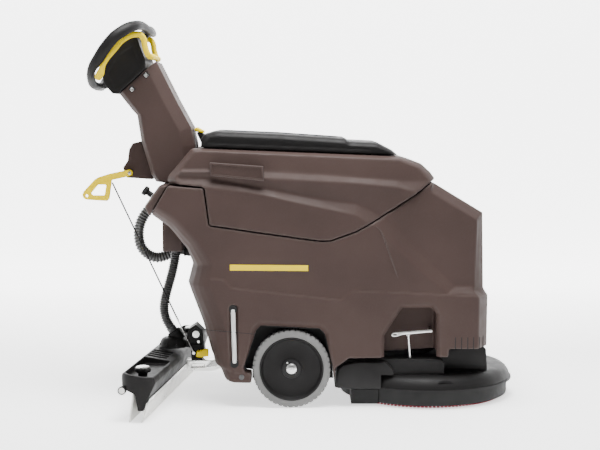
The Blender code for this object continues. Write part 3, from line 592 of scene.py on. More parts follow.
def housing():
    hull = side_body("housing_shell", [
        (level(0.04, CREASE), PANEL), (CREASE, PANEL), (raised(CREASE, 0.0008), MAIN - 0.0016),
        (raised(CREASE, 0.003), MAIN - 0.0016), (raised(CREASE, 0.0045), MAIN), (BAND_LOW, MAIN),
        (BAND_HIGH, CHEEK), (level(0.63, BAND_HIGH), CHEEK - 0.006),
    ])
    outline = [(x, z, 0.0, 0.0) for x, z in SEAM] + HOUSING_EDGE
    rear = [(x, z, max(dx, 0.0), dz if dx > 0 else 0.0) for x, z, dx, dz in outline]
    steps = [("keep", wrapped("rear_round", rear, ROUND))]
    front = [(x, z, min(dx, 0.0), dz if dx < 0 else 0.0) for x, z, dx, dz in outline]
    steps.append(("keep", wrapped("front_chamfer", front, CHAMFER)))
    grown = [old if old[1] < 0.15 else new for old, new in zip(WHEELHOUSE, shrunk(WHEELHOUSE, -0.013))]
    for side in (-1, 1):
        rings = [(0.15, WHEELHOUSE), (0.2025, WHEELHOUSE), (0.216, grown)]
        arch = loft("wheelhouse", [[(x, side * y, z) for x, z in ring] for y, ring in rings])
        steps.append(("cut", arch))
        steps.append(("cut", sided("base_step", [
            (-0.27, 0.04), (-0.27, 0.0935), (-0.12, 0.0935), (-0.12, 0.04)
        ],
                                   side, 0.2115, 0.25)))
    under_front = [(0.08, 0.0), (0.08, 0.141), (0.3, 0.158), (0.3795, 0.168), (0.3795, 0.0)]
    under_sides = [
        (0.08, 0.0), (0.08, 0.1375), (0.219, 0.1385), (0.3, 0.1435), (0.3795, 0.149), (0.3795, 0.0),
    ]
    nose = [(0.36, 0.0), (0.36, 0.192), (0.52, 0.205), (0.52, 0.0)]
    bay = [
        (-0.226, 0.65), (-0.226, 0.38), (-0.2, 0.278), (0.345, 0.278), (0.345, 0.52), (0.318, 0.555),
        (0.318, 0.65)
    ]
    nose_bay = [(0.34, 0.278), (0.462, 0.278), (0.462, 0.488), (0.34, 0.56)]
    wider = shrunk(LEVER_RECESS, -0.01)
    recess = [(-0.15, LEVER_RECESS), (-0.2045, LEVER_RECESS), (-0.2165, wider)]
    steps += [
        ("cut", block("under_rear", (-0.35, -0.1505, 0.0), (0.13, 0.1505, 0.134))),
        ("cut", prism("under_front", under_front, -0.139, 0.139)),
        ("cut", prism("under_sides", under_sides, -0.188, 0.188)),
        ("cut", prism("under_nose", nose, -0.139, 0.139)),
        ("cut", loft("lever_recess", [[(x, y, z) for x, z in ring] for y, ring in recess])),
        ("cut", block("rear_channel", (-0.4, -0.078, 0.0), (-0.206, 0.078, 0.352))),
        ("cut", block("battery_well", (-0.191, -0.14, 0.1795), (0.346, 0.14, 0.6))),
        ("cut", prism("upper_bay", bay, -0.186, 0.186)),
        ("cut", prism("nose_bay", nose_bay, -0.158, 0.158)),
        ("cut", rounded(block("tube_slot", (-0.1835, -0.23, 0.106), (-0.16, -0.205, 0.271)), 0.009)),
    ]
    carve(hull, *steps)
    soften(hull, 0.0028, 4, 0.22)
    piece(hull, "chassis", "body", "lower_housing")


def tank():
    hull = side_body("tank_shell", [
        (level(0.2, BAND_LOW), MAIN + 0.001), (BAND_LOW, MAIN + 0.001), (BAND_HIGH, CHEEK - 0.001),
        (RIDGE_LOW, 0.2035), (RIDGE_HIGH, 0.1905), (level(0.7, RIDGE_HIGH), 0.177),
    ])
    bottom = [(x, z + 0.003, 0.0, 0.0) for x, z in SEAM]
    bottom = [(-0.34, 0.5825, 0.9, 0.0), (-0.246, 0.575, 0.0, 0.0), (-0.2333, 0.4776, 0.0, 0.0)] + bottom[3:]
    bottom[-1] = (0.342, 0.59, -0.8, -0.6)
    outline = bottom + TANK_EDGE
    hollow = [
        (-0.228, 0.645), (-0.224, 0.488), (-0.095, 0.466), (0.047, 0.446), (0.078, 0.446), (0.142, 0.47),
        (0.2, 0.502), (0.245, 0.535), (0.245, 0.632),
    ]
    chamfer = ((0.105, 0.0), (0.16, 0.0), (0.178, 0.01), (0.192, 0.02), (0.204, 0.028), (0.219, 0.036))
    obj = carve(
        hull,
        ("keep", wrapped("tank_edges", outline, chamfer)),
        ("cut", prism("tank_hollow", hollow, -0.172, 0.172)),
        ("cut", block("tank_neck", (-0.219, -0.134, 0.61), (0.18, 0.134, 0.75))),
        ("cut", block("column_recess", (-0.4, -0.0985, 0.5), (-0.2735, 0.0985, 0.75))),
    )
    soften(obj, 0.0032, 5, 0.25)
    piece(obj, "tank", "body", "dirty_water_tank")
    outline = [(-0.232, 0.639), (-0.095, 0.629), (-0.093, 0.592), (-0.229, 0.605)]
    inner = shrunk(outline, 0.0045)
    for side, name in ((-1, "right"), (1, "left")):
        grip = sided(f"tank_grip_{name}", outline, side, 0.186, 0.2128)
        carve(grip, ("cut", sided("grip_panel", inner, side, 0.2098, 0.22)))
        rounded(grip, 0.0012, 3, 30)
        piece(grip, "tank", "body")


def collar():
    edge = [
        (-0.343, 0.5785, 0.0, 0.0), (-0.371, 0.576, 0.35, 0.0), (-0.41, 0.522, 0.35, 0.0),
        (-0.396, 0.5, 0.2, 0.0)
    ]
    turn_in = ((0.105, 0.0), (0.15, 0.006), (0.178, 0.018), (0.188, 0.028))
    piece(
        rounded(wrapped("hose_collar_shell", edge, turn_in), 0.004, 4, 30), "chassis", "body",
        "hose_collar"
    )
    lug = [(-0.371, 0.4815), (-0.3462, 0.4638), (-0.3183, 0.4285), (-0.3165, 0.3935), (-0.371, 0.3935)]
    piece(rounded(prism("hose_lug_shell", lug, -0.06, 0.014), 0.004, 4, 30), "chassis", "body", "hose_lug")
    profile = [
        (0.015, 0.0), (0.0175, 0.0), (0.019, 0.0015), (0.019, 0.005), (0.0175, 0.0062), (0.0175, 0.009),
        (0.019, 0.0102), (0.019, 0.0175), (0.018, 0.0188), (0.015, 0.0188),
    ]
    cuff = turned("drain_cuff_ring", profile, (-0.3218, 0.036, 0.39), (1, 0, 0), 48)
    piece(crisp(cuff), "chassis", "black", "drain_cuff")


# Column outline with the way its edges turn in: a wide chamfer in front, a slim one behind
COLUMN_EDGE = [
    (-0.48, 0.816, 0.3, 0.27), (-0.445, 0.772, 0.36, 0.15), (-0.434, 0.76, 0.39, 0.08),
    (-0.424, 0.692, 0.39, 0.08), (-0.398, 0.602, 0.39, 0.1), (-0.385, 0.583, 0.3, 0.15),
    (-0.355, 0.58, 0.0, 0.0), (-0.34, 0.5805, 0.0, 0.0), (-0.279, 0.5755, -0.95, 0.0),
    (-0.281, 0.68, -1.0, -0.05), (-0.291, 0.728, -0.93, -0.35), (-0.33, 0.8, -0.89, -0.45),
    (-0.382, 0.904, -0.76, -0.68),
]
COLUMN_SCREWS = ((-0.407, 0.866), (-0.445, 0.829))


def column():
    outline = [(x, z) for x, z, _, _ in COLUMN_EDGE]
    core = offset(outline, 0.01)
    for side, name in ((-1, "right"), (1, "left")):
        rings = [
            [(x + dx * depth, side * half, z + dz * depth) for x, z, dx, dz in COLUMN_EDGE]
            for half, depth in ((0.0004, 0.0), (0.069, 0.0), (0.0895, 0.03))
        ]
        shell = loft(f"column_shell_{name}", rings)
        steps = [("cut", sided("column_core", core, side, -0.01, 0.06))]
        for x, z in COLUMN_SCREWS:
            well = rod("screw_well", (x, side * 0.0878, z), (x, side * 0.095, z), 0.0125, 4, 0.014)
            steps.append(("cut", well))
        carve(shell, *steps)
        soften(shell, 0.0018, 3, 0.35)
        piece(shell, "chassis", "body", f"column_{name}")
        screws, pads = [], []
        for x, z in COLUMN_SCREWS:
            pads.append(rod("screw_pad", (x, side * 0.0868, z), (x, side * 0.0882, z), 0.0118, 4))
            head = rod("screw_head", (x, side * 0.0876, z), (x, side * 0.0902, z), 0.0078, 4, 0.007)
            carve(head, ("cut", rod("screw_socket", (x, side * 0.089, z), (x, side * 0.0915, z), 0.002, 16)))
            screws.append(rounded(head, 0.0007, 2, 30))
        piece(merge(f"column_screws_{name}", screws), "chassis", "steel")
        piece(merge(f"screw_pads_{name}", pads), "chassis", "black")
    bracket = [
        (-0.4275, 0.6905), (-0.451, 0.685), (-0.461, 0.668), (-0.465, 0.638), (-0.478, 0.619),
        (-0.468, 0.592), (-0.3955, 0.587), (-0.3995, 0.5985),
    ]
    shell = soften(prism("lever_bracket_shell", bracket, -0.04, 0.04), 0.0018, 5, 0.3)
    piece(shell, "chassis", "body", "lever_bracket")
    pin = rod("lever_pin", (-0.458, -0.0405, 0.605), (-0.458, -0.0585, 0.605), 0.0045, 24)
    piece(rounded(pin, 0.001), "chassis", "steel")


def console():
    out = Vector((-0.8609, 0, 0.5087))
    along = Vector((0.5087, 0, 0.8609))
    middle = Vector((-0.5039, 0, 0.9081)) + out * 0.0041
    button = middle + Vector((0, -0.045, 0))
    shell = prism("console_shell", CONSOLE, -0.1, 0.1)
    side_rib = [
        (-0.486, 0.8245), (-0.42, 0.884), (-0.424, 0.9), (-0.44, 0.945), (-0.48, 0.918), (-0.508, 0.87),
    ]
    steps = [("cut", rod("button_bore", button - out * 0.012, button + out * 0.012, 0.0096, 32))]
    for low, high in ((-0.12, -0.0985), (0.0985, 0.12)):
        steps.append(("cut", prism("side_recess", side_rib, low, high)))
    carve(shell, *steps)
    soften(shell, 0.0018, 4, 0.3)
    piece(shell, "chassis", "black", "console_housing")
    stems = [
        rod("stem_low", (-0.508, 0, 0.848), (-0.5335, 0, 0.8395), 0.0098, 32),
        rod("stem_high", (-0.432, 0, 0.955), (-0.4146, 0, 0.9776), 0.0078, 32),
    ]
    piece(crisp(merge("handle_stems", stems)), "chassis", "black")

    def on_panel(across, up, lift):
        return middle + Vector((0, across, 0)) + along * up + out * lift

    corners = [(-0.084, -0.0235), (0.084, -0.0235), (0.084, 0.0235), (-0.084, 0.0235)]
    rings = [[on_panel(y, up, lift) for y, up in corners] for lift in (-0.0032, -0.0004)]
    plate = carve(
        loft("panel_plate", rings),
        ("cut", rod("button_bore", button - out * 0.012, button + out * 0.012, 0.0096, 32)),
    )
    piece(rounded(plate, 0.0008, 3, 40), "chassis", "frame", "console_panel")
    marks = []
    for k in range(9):
        angle = radians(-120 + 30 * k)
        spot = on_panel(0.0215 * sin(angle), 0.0215 * cos(angle), 0.0)
        marks.append(rod("tick", spot - out * 0.0008, spot + out * 0.0002, 0.0009, 12))
    for k in range(4):
        spot = on_panel(-0.066, -0.012 + 0.008 * k, 0.0)
        marks.append(rod("lamp", spot - out * 0.0008, spot + out * 0.0008, 0.0016, 16))
    piece(crisp(merge("panel_marks", marks)), "chassis", "clear")
    corners = [(0.03, -0.012), (0.066, -0.012), (0.066, 0.012), (0.03, 0.012)]
    lens = [[on_panel(y, up, lift) for y, up in corners] for lift in (0.0, 0.0018)]
    piece(rounded(loft("display_lens", lens), 0.0006, 2, 40), "chassis", "clear", "battery_display")

    profile = [
        (0, 0), (0.0165, 0), (0.0168, 0.0012), (0.0158, 0.011), (0.0146, 0.013), (0.012, 0.0138), (0, 0.0138),
    ]
    dial = turned("dial_knob", profile, middle, out, 108, ridges(18, 0.035, 0.0135))
    piece(crisp(dial, 50), "program_dial", "black", "program_dial")
    low, high = middle + along * 0.004 + out * 0.0132, middle + along * 0.0135 + out * 0.0132
    piece(rod("dial_pointer", low, high, 0.001, 12), "program_dial", "yellow")
    profile = [(0, 0), (0.0088, 0), (0.0088, 0.01), (0.008, 0.0111), (0.006, 0.0114), (0, 0.0108)]
    cap = turned("button_cap", profile, button - out * 0.0035, out, 48)
    piece(crisp(cap, 50), "start_button", "yellow", "start_button")


def handle():
    half, _ = even(smooth_route(HANDLE_SIDE, 8), 0.008)
    loop = half + [Vector((p.x, -p.y, p.z)) for p in reversed(half)]
    away = Vector((-0.757, 0, 0.653))
    swell = [0.004 * max(0.0, min(1.0, (p.z - 0.875) / 0.03, (1.02 - p.z) / 0.03)) for p in loop]
    loop = [p - away * more for p, more in zip(loop, swell)]
    grip = sweep("handle_grip", loop, lambda i: (0.0109 + swell[i], 0.0109), 28, True, away)
    piece(crisp(grip, 60), "chassis", "black", "handle_loop")
    half, _ = even(smooth_route(SAFETY_SIDE, 8), 0.0025)
    route = [Vector((p.x, -p.y, p.z)) for p in reversed(half)] + half
    last = len(route) - 1

    def flat(i):
        end = min(i, last - i) * 0.0025
        size = 0.01 if end < 0.022 else max(0.0078, 0.01 - (end - 0.022) * 0.25)
        if end < size:
            size *= sqrt(max(0.02, 1 - (1 - end / size) ** 2))
        return size, size

    bar = sweep("safety_bar_moulding", route, flat, 24, up=(0.2, 0.1, 0.97))
    piece(crisp(bar, 60), "safety_bar", "yellow", "safety_bar")


def lid():
    edge = [
        (-0.26, 0.677, 0.0, 0.0), (0.19, 0.659, 0.0, 0.0), (0.256, 0.657, -0.6, 0.0),
        (0.24, 0.67, -0.6, -0.3), (0.202, 0.69, -0.3, -0.9), (0.128, 0.693, 0.0, -0.9),
        (0.118, 0.701, 0.0, -1.0), (-0.06, 0.713, 0.0, -1.0), (-0.223, 0.72, 0.3, -1.0),
        (-0.25, 0.712, 0.8, -0.8), (-0.26, 0.7, 0.9, -0.3),
    ]
    turn_in = ((0.09, 0.0), (0.128, 0.0), (0.142, 0.003), (0.15, 0.0078), (0.1548, 0.015))
    shell = wrapped("lid_shell", edge, turn_in)
    recess = [
        (-0.245, 0.685), (0.18, 0.668), (0.196, 0.674), (0.12, 0.679), (-0.06, 0.693), (-0.236, 0.702),
    ]
    wedge = [(-0.2655, 0.684), (-0.255, 0.684), (-0.255, 0.708), (-0.276, 0.715), (-0.28, 0.713)]
    crown = [(-0.215, 0.735), (0.105, 0.735), (0.105, 0.699), (-0.06, 0.71), (-0.215, 0.7166)]
    steps = [("join", prism("lid_wedge", wedge, -0.03, 0.03))]
    for low, high in ((-0.2, -0.1528), (0.1528, 0.2)):
        steps.append(("cut", prism("side_panel", recess, low, high)))
    steps.append(("cut", prism("crown_panel", crown, -0.105, 0.105)))
    carve(shell, *steps)
    soften(shell, 0.0024, 3, 0.3)
    piece(shell, "lid", "black", "tank_lid")
    tab = [(-0.2865, 0.7216), (-0.281, 0.7161), (-0.2618, 0.7121), (-0.2618, 0.7181), (-0.28, 0.7281)]
    piece(rounded(prism("lid_tab_grip", tab, -0.032, 0.032), 0.0016, 3, 30), "lid", "yellow", "lid_tab")


def lift_lever():
    bar = [
        (-0.45, 0.606), (-0.453, 0.612), (-0.46, 0.614), (-0.512, 0.6035), (-0.542, 0.594),
        (-0.552, 0.588), (-0.582, 0.556), (-0.5858, 0.548), (-0.584, 0.539), (-0.577, 0.534),
        (-0.56, 0.5325), (-0.52, 0.53), (-0.514, 0.536), (-0.507, 0.586), (-0.46, 0.5965), (-0.452, 0.599),
    ]
    hole = [(-0.544, 0.574), (-0.564, 0.55), (-0.559, 0.545), (-0.526, 0.545), (-0.521, 0.574)]
    arm = carve(
        prism("lever_moulding", bar, -0.0555, -0.0415),
        ("cut", rounded(prism("lever_loop", hole, -0.1, 0.0), 0.003, 3)),
        ("cut", rod("tube_end", (-0.5745, -0.1, 0.544), (-0.5745, 0.0, 0.544), 0.0042, 24)),
        ("cut", rod("pin_bore", (-0.458, -0.1, 0.605), (-0.458, 0.0, 0.605), 0.0048, 24)),
    )
    soften(arm, 0.0011, 3, 0.35)
    hook = rod("cable_post", (-0.51, -0.0425, 0.587), (-0.51, -0.031, 0.587), 0.0024, 20)
    piece(arm, "lift_lever", "yellow", "lift_lever")
    piece(rounded(hook, 0.0006), "lift_lever", "steel")
    top, foot = Vector((-0.51, -0.034, 0.5832)), Vector((-0.292, -0.04, 0.1168))
    joint = top.lerp(foot, 0.8)
    sleeve = rod("cable_sleeve", top.lerp(foot, 0.01), joint, 0.0021, 16)
    end = merge("cable_end", [
        rod("strand", joint - (foot - top).normalized() * 0.002, foot, 0.0013, 12),
        rod(
            "ferrule", joint - (foot - top).normalized() * 0.003,
            joint + (foot - top).normalized() * 0.009, 0.0026, 16
        ),
        rod("eye", foot - (foot - top).normalized() * 0.01, foot, 0.0019, 16),
    ])
    piece(crisp(sleeve, 60), "lift_cable", "rubber", "lift_cable")
    piece(crisp(end, 60), "lift_cable", "steel")


def dosing_knob():
    way = Vector((-0.81, 0, 0.585)).normalized()
    foot = Vector((-0.3905, -0.12, 0.549)) + way * 0.0006

    profile = [
        (0, 0), (0.0075, 0), (0.0075, 0.013), (0.0105, 0.015), (0.0122, 0.0162), (0.0124, 0.025),
        (0.0112, 0.0266), (0.008, 0.027), (0, 0.0262),
    ]
    knob = turned("dosing_knob_moulding", profile, foot, way, 80, ridges(10, 0.06, 0.0115))
    piece(crisp(knob, 50), "dosing_knob", "black", "dosing_knob")


def wheel(side, name):
    centre, axis = (WHEEL_X, 0, WHEEL_Z), (0, side, 0)
    middle = (WHEEL_BACK + WHEEL_FACE) / 2

    def tread(angle, radius, height):
        if radius > 0.0985:
            phase = 44 * angle / (2 * pi) + (0.5 if height > middle else 0.0)
            if phase % 1.0 > 0.7:
                radius -= 0.0022
        return radius, height

    tyre = [
        (0.0835, 0.1685), (0.09, 0.1668), (0.0955, 0.1672), (0.099, 0.169), (0.1018, 0.173),
        (0.1018, 0.189), (0.0988, 0.1896), (0.0988, 0.1909), (0.1018, 0.1915), (0.1018, 0.2075),
        (0.099, 0.212), (0.0955, 0.2137), (0.09, 0.214), (0.085, 0.2128), (0.0835, 0.211),
    ]
    tyre = crisp(turned(f"tyre_tread_{name}", tyre, centre, axis, 352, tread), 40)
    piece(tyre, f"wheel_{name}", "tyre", f"tyre_{name}")
    rim = [
        (0.0103, 0.1685), (0.0235, 0.1685), (0.0245, 0.178), (0.071, 0.179), (0.078, 0.1705),
        (0.0832, 0.1705), (0.0832, 0.2112), (0.0815, 0.2118), (0.0795, 0.2105), (0.078, 0.207),
        (0.0745, 0.2022), (0.0715, 0.2012), (0.056, 0.2004), (0.029, 0.1998), (0.0262, 0.2006),
        (0.0248, 0.204), (0.0232, 0.2048), (0.0103, 0.2046),
    ]
    dish = crisp(turned(f"rim_dish_{name}", rim, centre, axis, 96), 30)
    piece(dish, f"wheel_{name}", "black", f"rim_{name}")
    cap = [
        (0, 0.2049), (0.0135, 0.2049), (0.014, 0.2062), (0.0132, 0.209), (0.0105, 0.2112), (0.006, 0.2124),
        (0, 0.2127),
    ]
    face = turned(f"hub_cap_{name}_dome", cap, centre, axis, 48)
    slot = [
        (WHEEL_X + x, WHEEL_Z + z) for x,
        z in ((-0.009, -0.0012), (0.009, -0.0012), (0.009, 0.0012), (-0.009, 0.0012))
    ]
    carve(face, ("cut", sided("cap_slot", slot, side, 0.2112, 0.22)))
    screw = (WHEEL_X - 0.011, side * 0.2042, WHEEL_Z + 0.0155)
    head = rod("hub_screw", screw, (screw[0], side * 0.2068, screw[2]), 0.0026, 20, 0.002)
    piece(
        crisp(merge(f"hub_cap_bright_{name}", [face, head]), 30), f"wheel_{name}", "steel",
        f"hub_cap_{name}"
    )


def brush_head():
    centre = (BRUSH_X, 0, 0)
    profile = [
        (0, 0.084), (0.1, 0.084), (0.2, 0.084), (0.208, 0.0832), (0.2185, 0.08), (0.2265, 0.074),
        (0.233, 0.064), (0.236, 0.0545), (0.2362, 0.051), (0.2398, 0.0504), (0.24, 0.0474),
        (0.2225, 0.0474), (0.219, 0.072), (0, 0.072),
    ]
    deck = turned("deck_moulding", profile, centre, (0, 0, 1), 160)
    carve(
        deck,
        ("cut", rod("deck_notch", (0.382, -0.267, 0.0655), (0.382, -0.267, 0.1), 0.045, 48)),
        ("cut", rod("deck_notch_far", (0.382, 0.267, 0.0655), (0.382, 0.267, 0.1), 0.045, 48)),
    )
    piece(crisp(deck, 30), "brush_head", "black", "brush_deck")
    profile = [(0.2275, 0.0468), (0.2278, 0.012), (0.2272, 0.0082), (0.2232, 0.0082), (0.2226, 0.0468)]
    skirt = carve(
        turned("splash_skirt_ring", profile, centre, (0, 0, 1), 160),
        ("join", block("apron", (0.134, -0.1865, 0.0052), (0.205, 0.1865, 0.0438))),
        ("cut", rod("brush_space", (BRUSH_X, 0, -0.01), (BRUSH_X, 0, 0.0475), 0.2225, 160)),
    )
    piece(crisp(skirt, 30), "brush_head", "rubber", "splash_skirt")
    tail = [
        (0.0905, 0.048), (0.097, 0.095), (0.098, 0.115), (0.112, 0.124), (0.366, 0.124), (0.378, 0.116),
        (0.378, 0.045), (0.133, 0.045),
    ]
    shell = carve(
        rounded(prism("tail_moulding", tail, -0.1865, 0.1865), 0.004, 4, 30),
        ("cut", rod("deck_space", (BRUSH_X, 0, 0.0), (BRUSH_X, 0, 0.0848), 0.2408, 160)),
        ("cut", block("ear_space", (0.05, -0.1475, 0.08), (0.1255, 0.1475, 0.15))),
        ("cut", block("motor_space", (0.2, -0.1315, 0.08), (0.4, 0.1315, 0.15))),
        ("cut", rod("shaft_bore", (0.104, -0.1705, 0.1), (0.104, 0.1705, 0.1), 0.0044, 24)),
    )
    piece(crisp(shell, 30), "brush_head", "black", "deck_tail")
    flank = [
        (0.133, 0.048), (0.095, 0.05), (0.0975, 0.098), (0.112, 0.112), (0.15, 0.1195), (0.224, 0.1195),
        (0.244, 0.1), (0.248, 0.048),
    ]
    for side, name in ((-1, "right"), (1, "left")):
        wall = carve(
            rounded(sided(f"tail_flank_{name}", flank, side, 0.1868, 0.2035), 0.005, 4, 30),
            ("cut", rod("deck_space", (BRUSH_X, 0, 0.0), (BRUSH_X, 0, 0.0848), 0.2408, 160)),
        )
        piece(crisp(wall, 30), "brush_head", "black")
    cover = [
        (0.2005, 0.0848), (0.2005, 0.124), (0.33, 0.126), (0.37, 0.148), (0.485, 0.151), (0.495, 0.14),
        (0.498, 0.0848),
    ]
    steps = [("cut", block("cover_space", (0.21, -0.12, 0.06), (0.488, 0.12, 0.116)))]
    for k in range(7):
        y = -0.066 + 0.022 * k
        steps.append(("cut", block("cover_vent", (0.395, y - 0.004, 0.1488), (0.47, y + 0.004, 0.16))))
    shell = rounded(carve(prism("cover_moulding", cover, -0.13, 0.13), *steps), 0.003, 3, 30)
    piece(shell, "brush_head", "black", "motor_cover")
    tufts = bmesh.new()
    rows = ((0.202, 128), (0.187, 110), (0.17, 96), (0.152, 84), (0.133, 72), (0.116, 60))
    for row, (radius, count) in enumerate(rows):
        for k in range(count):
            angle = 2 * pi * (k + 0.5 * (row % 2)) / count
            root = Vector((BRUSH_X + radius * 0.965 * cos(angle), radius * 0.965 * sin(angle), 0.03))
            tip = Vector((BRUSH_X + (radius + 0.0072) * cos(angle), (radius + 0.0072) * sin(angle), 0.0))
            across = Vector((-sin(angle), cos(angle), 0))
            outward = Vector((cos(angle), sin(angle), 0))
            rings = []
            for place, size in ((root, 0.0026), (tip, 0.0044)):
                rings.append([
                    tufts.verts.new(
                        place + across * (size * cos(pi * j / 3)) + outward * (size * sin(pi * j / 3))
                    )
                    for j in range(6)
                ])
            for a, b, c, d in zip(
                rings[0], rings[0][1:] + rings[0][:1], rings[1][1:] + rings[1][:1], rings[1]
            ):
                tufts.faces.new((a, b, c, d))
            tufts.faces.new(rings[0])
            tufts.faces.new(rings[1])
    obj = solid("bristle_tufts", to_mesh(tufts, "bristle_tufts"))
    piece(obj, "brush", "bristle", "brush_bristles")


def head_lift():
    bar = [
        (0.2385, 0.189), (0.24, 0.185), (0.244, 0.1832), (0.254, 0.1842), (0.266, 0.1885), (0.344, 0.1957),
        (0.3462, 0.1975), (0.3455, 0.201), (0.3435, 0.2024), (0.264, 0.196), (0.25, 0.195),
        (0.242, 0.1935),
    ]
    hole = [
        (0.2425, 0.1888), (0.244, 0.1872), (0.252, 0.1878), (0.253, 0.1896), (0.251, 0.1912),
        (0.244, 0.1906)
    ]
    lever = carve(
        prism("head_lever_bar", bar, -0.1905, -0.184), ("cut", prism("lever_eye", hole, -0.21, -0.17))
    )
    piece(rounded(lever, 0.001, 3, 25), "head_lever", "steel", "head_lift_lever")
    pivot = rod("head_lever_pin", (0.3405, -0.1895, 0.1985), (0.3405, -0.1535, 0.1985), 0.0042, 24)
    piece(rounded(pivot, 0.0008), "chassis", "steel")
    top, foot = Vector((0.283, -0.1862, 0.1885)), Vector((0.2888, -0.1758, 0.1264))
    link = merge("head_link", [
        rod("link_bar", top, foot, 0.0024, 20),
        rod("link_eye", (0.283, -0.1835, 0.1885), (0.283, -0.179, 0.1885), 0.0046, 24),
        rod("link_nut", foot + Vector((-0.00045, 0.0008, 0.0048)), foot, 0.004, 6),
    ])
    piece(crisp(link, 30), "head_rod", "steel", "head_lift_rod")
    boss = rod("link_boss", (0.289, -0.1755, 0.1225), (0.289, -0.1755, 0.1255), 0.0075, 32, 0.006)
    piece(crisp(boss, 30), "brush_head", "black")


def arm():
    bar = [
        (-0.312, 0.0895), (-0.312, 0.06), (-0.24, 0.06), (-0.186, 0.078), (-0.182, 0.092), (-0.192, 0.101),
        (-0.205, 0.099), (-0.24, 0.0895),
    ]
    slot = [(-0.3, 0.08), (-0.3, 0.069), (-0.262, 0.069), (-0.262, 0.08)]
    plate = carve(
        prism("arm_channel", bar, -0.0195, 0.0195),
        ("cut", rod("arm_bore", (-0.195, -0.06, 0.088), (-0.195, 0.06, 0.088), 0.0044, 24)),
        ("cut", rounded(prism("arm_slot", slot, -0.03, -0.0165), 0.002)),
    )
    piece(rounded(plate, 0.0012, 3, 30), "squeegee_arm", "steel", "arm_bar")
    head = [
        (-0.311, 0.1262), (-0.311, 0.15), (-0.303, 0.178), (-0.285, 0.19), (-0.266, 0.172), (-0.262, 0.11),
        (-0.268, 0.0905), (-0.298, 0.0905), (-0.298, 0.1262),
    ]
    rib = [(-0.305, 0.135), (-0.2985, 0.171), (-0.284, 0.182), (-0.272, 0.168), (-0.268, 0.135)]
    window = [(-0.292, 0.12), (-0.292, 0.098), (-0.274, 0.098), (-0.27, 0.12)]
    steps = []
    for side in (-1, 1):
        steps.append(("cut", sided("head_rib", rib, side, 0.0255, 0.04)))
        steps.append(("cut", sided("head_window", window, side, 0.0255, 0.04)))
    hook = rod("cable_hook", (-0.29, -0.02, 0.1135), (-0.29, -0.045, 0.1135), 0.0025, 16)
    steps.append(("join", hook))
    block_head = carve(prism("arm_head_casting", head, -0.03, 0.03), *steps)
    soften(block_head, 0.0013, 3, 0.4)
    piece(block_head, "squeegee_arm", "black", "arm_head")
    fittings = [
        rod("hook_washer", (-0.29, -0.0455, 0.1135), (-0.29, -0.044, 0.1135), 0.0042, 24),
        rod("rib_bolt", (-0.285, -0.025, 0.162), (-0.285, -0.029, 0.162), 0.0062, 6),
        rod("rib_boss", (-0.285, -0.025, 0.162), (-0.285, -0.0268, 0.162), 0.0095, 32),
        rod("wing_bolt", (-0.278, -0.025, 0.142), (-0.278, -0.0285, 0.142), 0.0038, 6),
        rod("pivot_head", (-0.195, -0.0345, 0.088), (-0.195, -0.038, 0.088), 0.0072, 6),
    ]
    piece(crisp(merge("arm_fittings", fittings), 30), "squeegee_arm", "steel")
    dome = [
        (0, 0.1242), (0.0382, 0.1242), (0.0385, 0.1268), (0.0372, 0.1282), (0.0372, 0.1335),
        (0.0345, 0.141), (0.03, 0.1475), (0.024, 0.1508), (0.015, 0.152), (0, 0.152),
    ]
    nozzle = turned("nozzle_dome", dome, (SQUEEGEE_X, 0, 0), (0, 0, 1), 72)
    elbow = rod("nozzle_elbow", (-0.332, 0, 0.142), (-0.3496, 0.0, 0.168), 0.0182, 40)
    ring = rod("nozzle_ring", (-0.3446, 0, 0.1605), (-0.348, 0.0, 0.1655), 0.0198, 40)
    carve(nozzle, ("join", elbow), ("join", ring))
    for angle in (200, 245, 290, 335):
        c, s = cos(radians(angle)), sin(radians(angle))
        root = (SQUEEGEE_X + 0.03 * c, 0.03 * s, 0.133)
        carve(
            nozzle,
            ("join", rod("nozzle_lug", root, (SQUEEGEE_X + 0.0384 * c, 0.0384 * s, 0.133), 0.003, 12))
        )
    piece(crisp(nozzle, 35), "squeegee_arm", "black", "suction_nozzle")
    latch = [
        (-0.284, 0.104), (-0.281, 0.1195), (-0.254, 0.1245), (-0.25, 0.123), (-0.25, 0.1045), (-0.276, 0.102),
    ]
    grip = carve(
        prism("latch_moulding", latch, -0.046, -0.0305),
        ("cut", block("latch_groove", (-0.2765, -0.05, 0.118), (-0.2735, -0.03, 0.13))),
        ("cut", block("latch_groove_mid", (-0.269, -0.05, 0.1195), (-0.266, -0.03, 0.13))),
    )
    piece(rounded(grip, 0.0011, 3, 30), "latch", "yellow", "release_latch")


